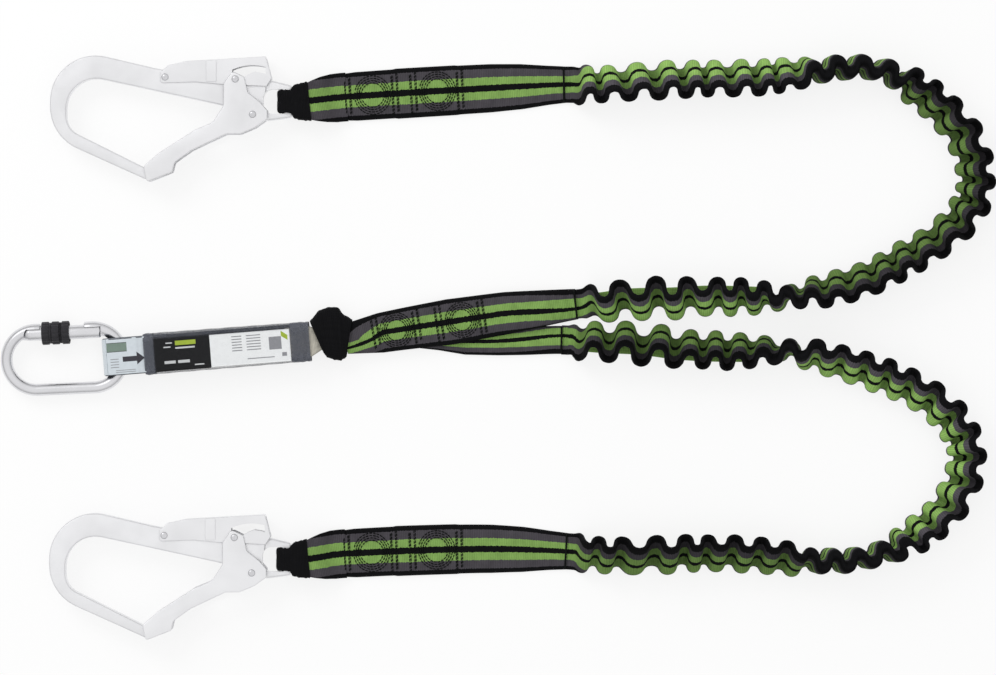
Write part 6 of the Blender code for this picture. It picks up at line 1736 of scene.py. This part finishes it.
def makeHook(prefix):
    x, y = hook["at"][prefix]
    origin = atPoint(x, y, hook["height"])
    axis, pin, lever = (np.array(hook[key]) for key in ("gateAxis", "pinAt", "leverAxis"))
    steel, sheet = finishes["hookSteel"], finishes["sheetSteel"]
    through = 0.02

    def spot(point):
        return atPoint(x + point[0], y + point[1], hook["height"])

    def bore(piece, point, key):
        ends = [(hook[key], -1.5 * through), (hook[key], 1.5 * through)]
        carve(piece, turnedPiece("bore", ends, steel, spot(point), 28))

    def plate(name, outline, half, bevel=0, material=steel):
        return platePiece(name, outline, half, bevel, material, origin)

    start = np.arctan2(pin[1] - hook["shoulderDrop"] - axis[1], hook["upper"][0][0] - axis[0])
    shoulder = arcPoints(axis, hook["shoulderRadius"], np.radians(67), start, 16)
    outline = roundedOutline([*hook["lower"], *[(*p, 0) for p in shoulder], *hook["upper"]])
    body = plate(prefix + "_forged_body", outline, hook["bodyHalf"], hook["bodyBevel"])
    opening = roundedOutline(hook["opening"])
    carve(body, plate("opening", opening, through))
    eye = plate("eye", roundedOutline(hook["eye"]), hook["eyeHalf"], hook["eyeBevel"])
    carve(eye, plate("opening", opening, through))
    carve(body, eye, "UNION")
    bore(body, axis, "gateBore")
    bore(body, lever, "leverBore")
    # recess for the gate's spring
    carve(body, turnedPiece("recess", hook["recess"], steel, spot(axis), 28))
    keepEdgesSharp(body)
    settle(body, "hook_steel", prefix + "_body")

    outline = roundedOutline(hook["gate"])
    gate = plate(prefix + "_pressed_gate", outline, hook["gateOuter"], hook["plateBevel"], sheet)
    first, corner, tip = (np.array(p) for p in hook["gateWeb"])
    inward = unit(np.array([corner[1] - first[1], first[0] - corner[0]]))
    if inward @ (axis - first) < 0 and inward[1] > 0:
        inward = -inward
    down = unit(np.array([tip[1] - corner[1], corner[0] - tip[0]]))
    if down[1] > 0:
        down = -down
    web = hook["gateWebThickness"]
    mitre = unit(inward + down) * web / np.cos(np.arccos(inward @ down) / 2)
    # the channel between the plates, inside the web, with the rest of its outline clear of the gate
    room = [first + (0, 0.008), first + inward * web, corner + mitre, tip + down * web]
    room += [(-0.130, tip[1] + down[1] * web), (-0.130, -0.08), (0.0, -0.06), (0.0, 0.05), (first[0], 0.05)]
    carve(gate, plate("channel", room, hook["gateInner"]))
    bore(gate, axis, "gateBore")
    bore(gate, pin, "pinBore")
    keepEdgesSharp(gate)
    settle(gate, "hook_sheet", prefix + "_gate")

    outline = roundedOutline(hook["lever"])
    cover = plate(prefix + "_pressed_lever", outline, hook["leverOuter"], hook["leverBevel"], sheet)
    rib = roundedBox(*hook["rib"], hook["ribCorner"])
    carve(cover, plate("rib", rib, hook["ribOuter"], hook["ribBevel"]), "UNION")
    web = np.array(hook["leverWeb"])
    under = web - (0, hook["leverWebThickness"])
    room = [web[0] + (-0.001, 0.02), (web[0, 0] - 0.001, under[0, 1]), *under, (0.0, under[-1, 1])]
    room += [(0.0, -0.01), (-0.13, -0.01), (-0.13, 0.05)]
    carve(cover, plate("channel", room, hook["leverInner"]))
    carve(cover, plate("window", leverWindow(), through))
    bore(cover, lever, "leverBore")
    keepEdgesSharp(cover)
    settle(cover, "hook_sheet", prefix + "_lever")

    for name, (key, shank, headFrom) in hook["rivets"].items():
        rivet = hookRivet(f"{prefix}_{name}_head", shank, headFrom, spot(hook[key]))
        settle(rivet, "rivet_steel", f"{prefix}_{name}")


for hookName in ("hook_a", "hook_b"):
    makeHook(hookName)
print("hooks ready")


# Karabiner, in its own frame: on its long axis, with +Y to the gate

karabiner = {
    "swingAt": (-0.317525, -0.008991, 0.008405),
    "swingX": 0.0497,
    "axes": [(0.99905, 0.04362, 0.0), (-0.04353, 0.99707, 0.06283), (0.00274, -0.06277, 0.99802)],
    "wire": 5.1 * mm,
    "bend": 25.6 * mm,
    "straight": 24.1 * mm,
    "gateY": 22.2 * mm,
    "fillet": 1.4 * mm,
    "gateRadius": 6.0 * mm,
    "sideGap": 0.4 * mm,
    "endGap": 1.0 * mm,
    "hingeX": -28.5 * mm,
    "pinX": 26.5 * mm,
    "gateEnd": 31.5 * mm,
    "noseLip": 17.4 * mm,
    "hingeLip": -19.3 * mm,
    "lugHalf": 1.6 * mm,
    "slotHalf": 2.0 * mm,
    "slotPast": 1.6 * mm,
    "hingeShank": 2.0 * mm,
    "hingeBore": 2.3 * mm,
    "noseShank": 1.5 * mm,
    "pinGap": 0.6 * mm,
    "pinHalf": 5.55 * mm,
    "pinRise": 0.4 * mm,
    "pinTip": 0.15 * mm,
    "sleeveX": -18.3 * mm,
    "sleeveRadius": 9.8 * mm,
    "sleeveLength": 23.4 * mm,
    "grooveDepth": 0.9 * mm,
    "grooveWidth": 2.2 * mm,
    # the grip's bore: its radius round the nut and how far that goes, then its radius and where it starts
    "nutBore": (8.2 * mm, 6.8 * mm),
    "gripBore": (8.9 * mm, 7.8 * mm),
}
karabinerAxes = np.array(karabiner["axes"])
karabinerMiddle = np.array(karabiner["swingAt"]) - karabiner["swingX"] * karabinerAxes[0]
karabinerPlace = np.vstack([karabinerMiddle, karabinerAxes])


def inKarabiner(x, y, alongX=False):
    # the place of a turned piece: its Z along the karabiner's X, or square to the karabiner's plane
    origin = placed(np.array([x, y, 0.0]), karabinerPlace)
    order = [1, 2, 0] if alongX else [0, 1, 2]
    return np.vstack([origin, karabinerAxes[order]])


def karabinerPlate(name, outline, half):
    return platePiece(name, outline, half, 0, finishes["karabinerSteel"], karabinerPlace)


def makeKarabinerBar():
    # straight sides and two half rounds, with the bar's ends rounded off
    k, steel = karabiner, finishes["karabinerSteel"]
    wire, bend, straight, fillet = k["wire"], k["bend"], k["straight"], k["fillet"]
    turn = np.linspace(0, np.pi, 49)
    ends = np.array([0, 0.3, 1]) * fillet
    path = [(k["noseLip"] + step, bend) for step in ends]
    path += [(straight + bend * np.sin(a), bend * np.cos(a)) for a in turn]
    path += [(-straight - bend * np.sin(a), -bend * np.cos(a)) for a in turn]
    path += [(k["hingeLip"] - step, bend) for step in ends[::-1]]
    path = np.array(path)
    radii = np.full(len(path), wire)
    radii[[0, 1, -2, -1]] = (wire - fillet, wire - 0.3 * fillet, wire - 0.3 * fillet, wire - fillet)
    aside = flat3(leftOf(unit(np.gradient(path, axis=0))))
    around = fullTurn(40)
    ring = aside[:, None, :] * np.cos(around)[:, None] + np.array([0, 0, 1.0]) * np.sin(around)[:, None]
    grid = flat3(path)[:, None, :] + ring * radii[:, None, None]
    body = ringPiece("karabiner_bar", placed(grid, karabinerPlace), steel)

    # room for the gate: straight at the nose, with a round end round the hinge
    gateY, radius, gap = k["gateY"], k["gateRadius"], k["endGap"]
    alongGate = inKarabiner(0, gateY, True)
    space, hollow = radius + k["sideGap"], radius + gap
    room = [(space, k["noseLip"] - wire), (space, k["gateEnd"] + gap)]
    carve(body, turnedPiece("room", room, steel, alongGate, 48))
    shoulder = k["hingeX"] - radius - gap
    a = np.linspace(0.05, 1.2, 12)
    roundEnd = np.stack([np.minimum(space, hollow * np.sin(a)), shoulder + hollow * (1 - np.cos(a))], axis=1)
    room = np.vstack([roundEnd, [(space, k["hingeLip"] + wire)]])
    carve(body, turnedPiece("room", room, steel, alongGate, 48))

    # the nose's tongue, notched for the pin
    reach = np.sqrt(bend**2 - (k["gateEnd"] - straight) ** 2)
    notch, far = k["noseShank"] + k["pinGap"], k["gateEnd"] + wire
    tongue = [
        (far, reach), (far, gateY - radius * 0.75), (k["pinX"] + notch, gateY - radius * 0.75),
        *arcPoints((k["pinX"], gateY), notch, 0, np.pi, 16),
        (k["pinX"] - notch, gateY - radius * 0.6), (k["pinX"] - radius, gateY - radius * 0.45),
        (k["pinX"] - radius, bend + wire * 0.3), (k["gateEnd"], bend + wire * 0.3),
    ]
    carve(body, karabinerPlate("tongue", tongue, k["lugHalf"]), "UNION")
    rootX = shoulder - wire * 0.6
    rootY = np.sqrt(bend**2 - (rootX + straight) ** 2)
    lugRadius = radius - k["sideGap"]
    lug = [
        *arcPoints((k["hingeX"], gateY), lugRadius, -np.pi / 2, np.pi / 2, 24),
        (shoulder, gateY + lugRadius * 0.95), (rootX, rootY + wire * 0.6),
        (rootX, rootY - wire * 0.6), (shoulder, gateY - lugRadius * 0.85),
    ]
    carve(body, karabinerPlate("lug", lug, k["lugHalf"]), "UNION")
    hole = [(k["hingeBore"], -0.01), (k["hingeBore"], 0.01)]
    carve(body, turnedPiece("hole", hole, steel, inKarabiner(k["hingeX"], gateY), 28))
    keepEdgesSharp(body)
    settle(body, "karabiner_steel", "karabiner_body")


def makeKarabinerGate():
    # a barrel with a round hinge end, slotted for the lug and the nose
    k, steel = karabiner, finishes["karabinerSteel"]
    gateY, radius = k["gateY"], k["gateRadius"]
    a = np.linspace(0.05, np.pi / 2, 14)
    hinge = np.stack([radius * np.sin(a), k["hingeX"] - radius * np.cos(a)], axis=1)
    chamfer = radius * 0.25
    a = np.linspace(0, np.pi / 2, 6)
    nose = np.stack([radius - chamfer * (1 - np.cos(a)), k["gateEnd"] - chamfer * (1 - np.sin(a))], axis=1)
    place = inKarabiner(0, gateY, True)
    gate = turnedPiece("karabiner_gate_barrel", np.vstack([hinge, nose]), steel, place, 48)
    for low, high in (
        (k["hingeX"] - radius * 1.2, k["hingeX"] + radius + k["slotPast"]),
        (k["pinX"] - radius - k["endGap"], k["gateEnd"] + radius * 0.3),
    ):
        outline = roundedBox(low, high, gateY - 0.01, gateY + 0.01, 0)
        carve(gate, karabinerPlate("slot", outline, k["slotHalf"]))
    keepEdgesSharp(gate)
    settle(gate, "karabiner_steel", "karabiner_gate")
    for name, x, shank in (
        ("karabiner_gate_rivet", k["hingeX"], k["hingeShank"]),
        ("karabiner_nose_pin", k["pinX"], k["noseShank"]),
    ):
        profile = bothEnds(dome(shank, k["pinHalf"], k["pinRise"], k["pinTip"], 6))
        pinPiece = turnedPiece(name + "_end", profile, finishes["rivetSteel"], inKarabiner(x, gateY), 28)
        settle(pinPiece, "rivet_steel", name)


def makeGrip():
    # three rings with ribs along them, grooves between, and a bore that fits the nut at its hinge end
    k = karabiner
    outer, width, length = k["sleeveRadius"], k["grooveWidth"], k["sleeveLength"]
    floor, rings, ribs = outer - k["grooveDepth"], 3, 14
    each = (length - (rings - 1) * width) / rings
    (narrow, nutTo), (wide, wideFrom) = k["nutBore"], k["gripBore"]
    profile, scallop = [(narrow, 0.0)], [0.0]
    for index in range(rings):
        x0 = index * (each + width)
        x1 = x0 + each
        profile += [(floor, x0), (outer - 0.3 * mm, x0 + 0.12 * mm), (outer, x0 + 0.6 * mm)]
        profile += [(outer, x1 - 0.6 * mm), (outer - 0.3 * mm, x1 - 0.12 * mm), (floor, x1)]
        scallop += [0.0, 0.45 * mm, 0.55 * mm, 0.55 * mm, 0.45 * mm, 0.0]
    profile += [(wide, length), (wide, wideFrom), (narrow, nutTo)]
    scallop += [0.0, 0.0, 0.0]
    profile = np.array(profile)
    turn = fullTurn(8 * ribs)
    radius = profile[:, :1] - np.array(scallop)[:, None] * (0.5 - 0.5 * np.cos(ribs * turn)) ** 2
    grid = np.stack([radius * np.cos(turn), radius * np.sin(turn), profile[:, 1:] + 0 * turn], axis=-1)
    grid = placed(grid, inKarabiner(k["sleeveX"], k["gateY"], True))
    grip = ringPiece("screw_sleeve_ribbed_grip", grid, finishes["gripPlastic"], closedAlong=True)
    keepEdgesSharp(grip)
    settle(grip, "grip_plastic", "screw_sleeve_grip")


makeKarabinerBar()
makeKarabinerGate()
makeGrip()
print("karabiner ready")


# The CAD nodes that stay in sight: springs, the plunger and the screw sleeve's nut
for name in frame["nodes"]:
    node = bpy.data.objects.get(name)
    if node is None or not name.endswith(("_spring", "_plunger", "_nut")):
        continue
    for slot in node.material_slots:
        slot.material = finishes["springSteel" if name.endswith("_spring") else "rivetSteel"]
print("nodes dressed")
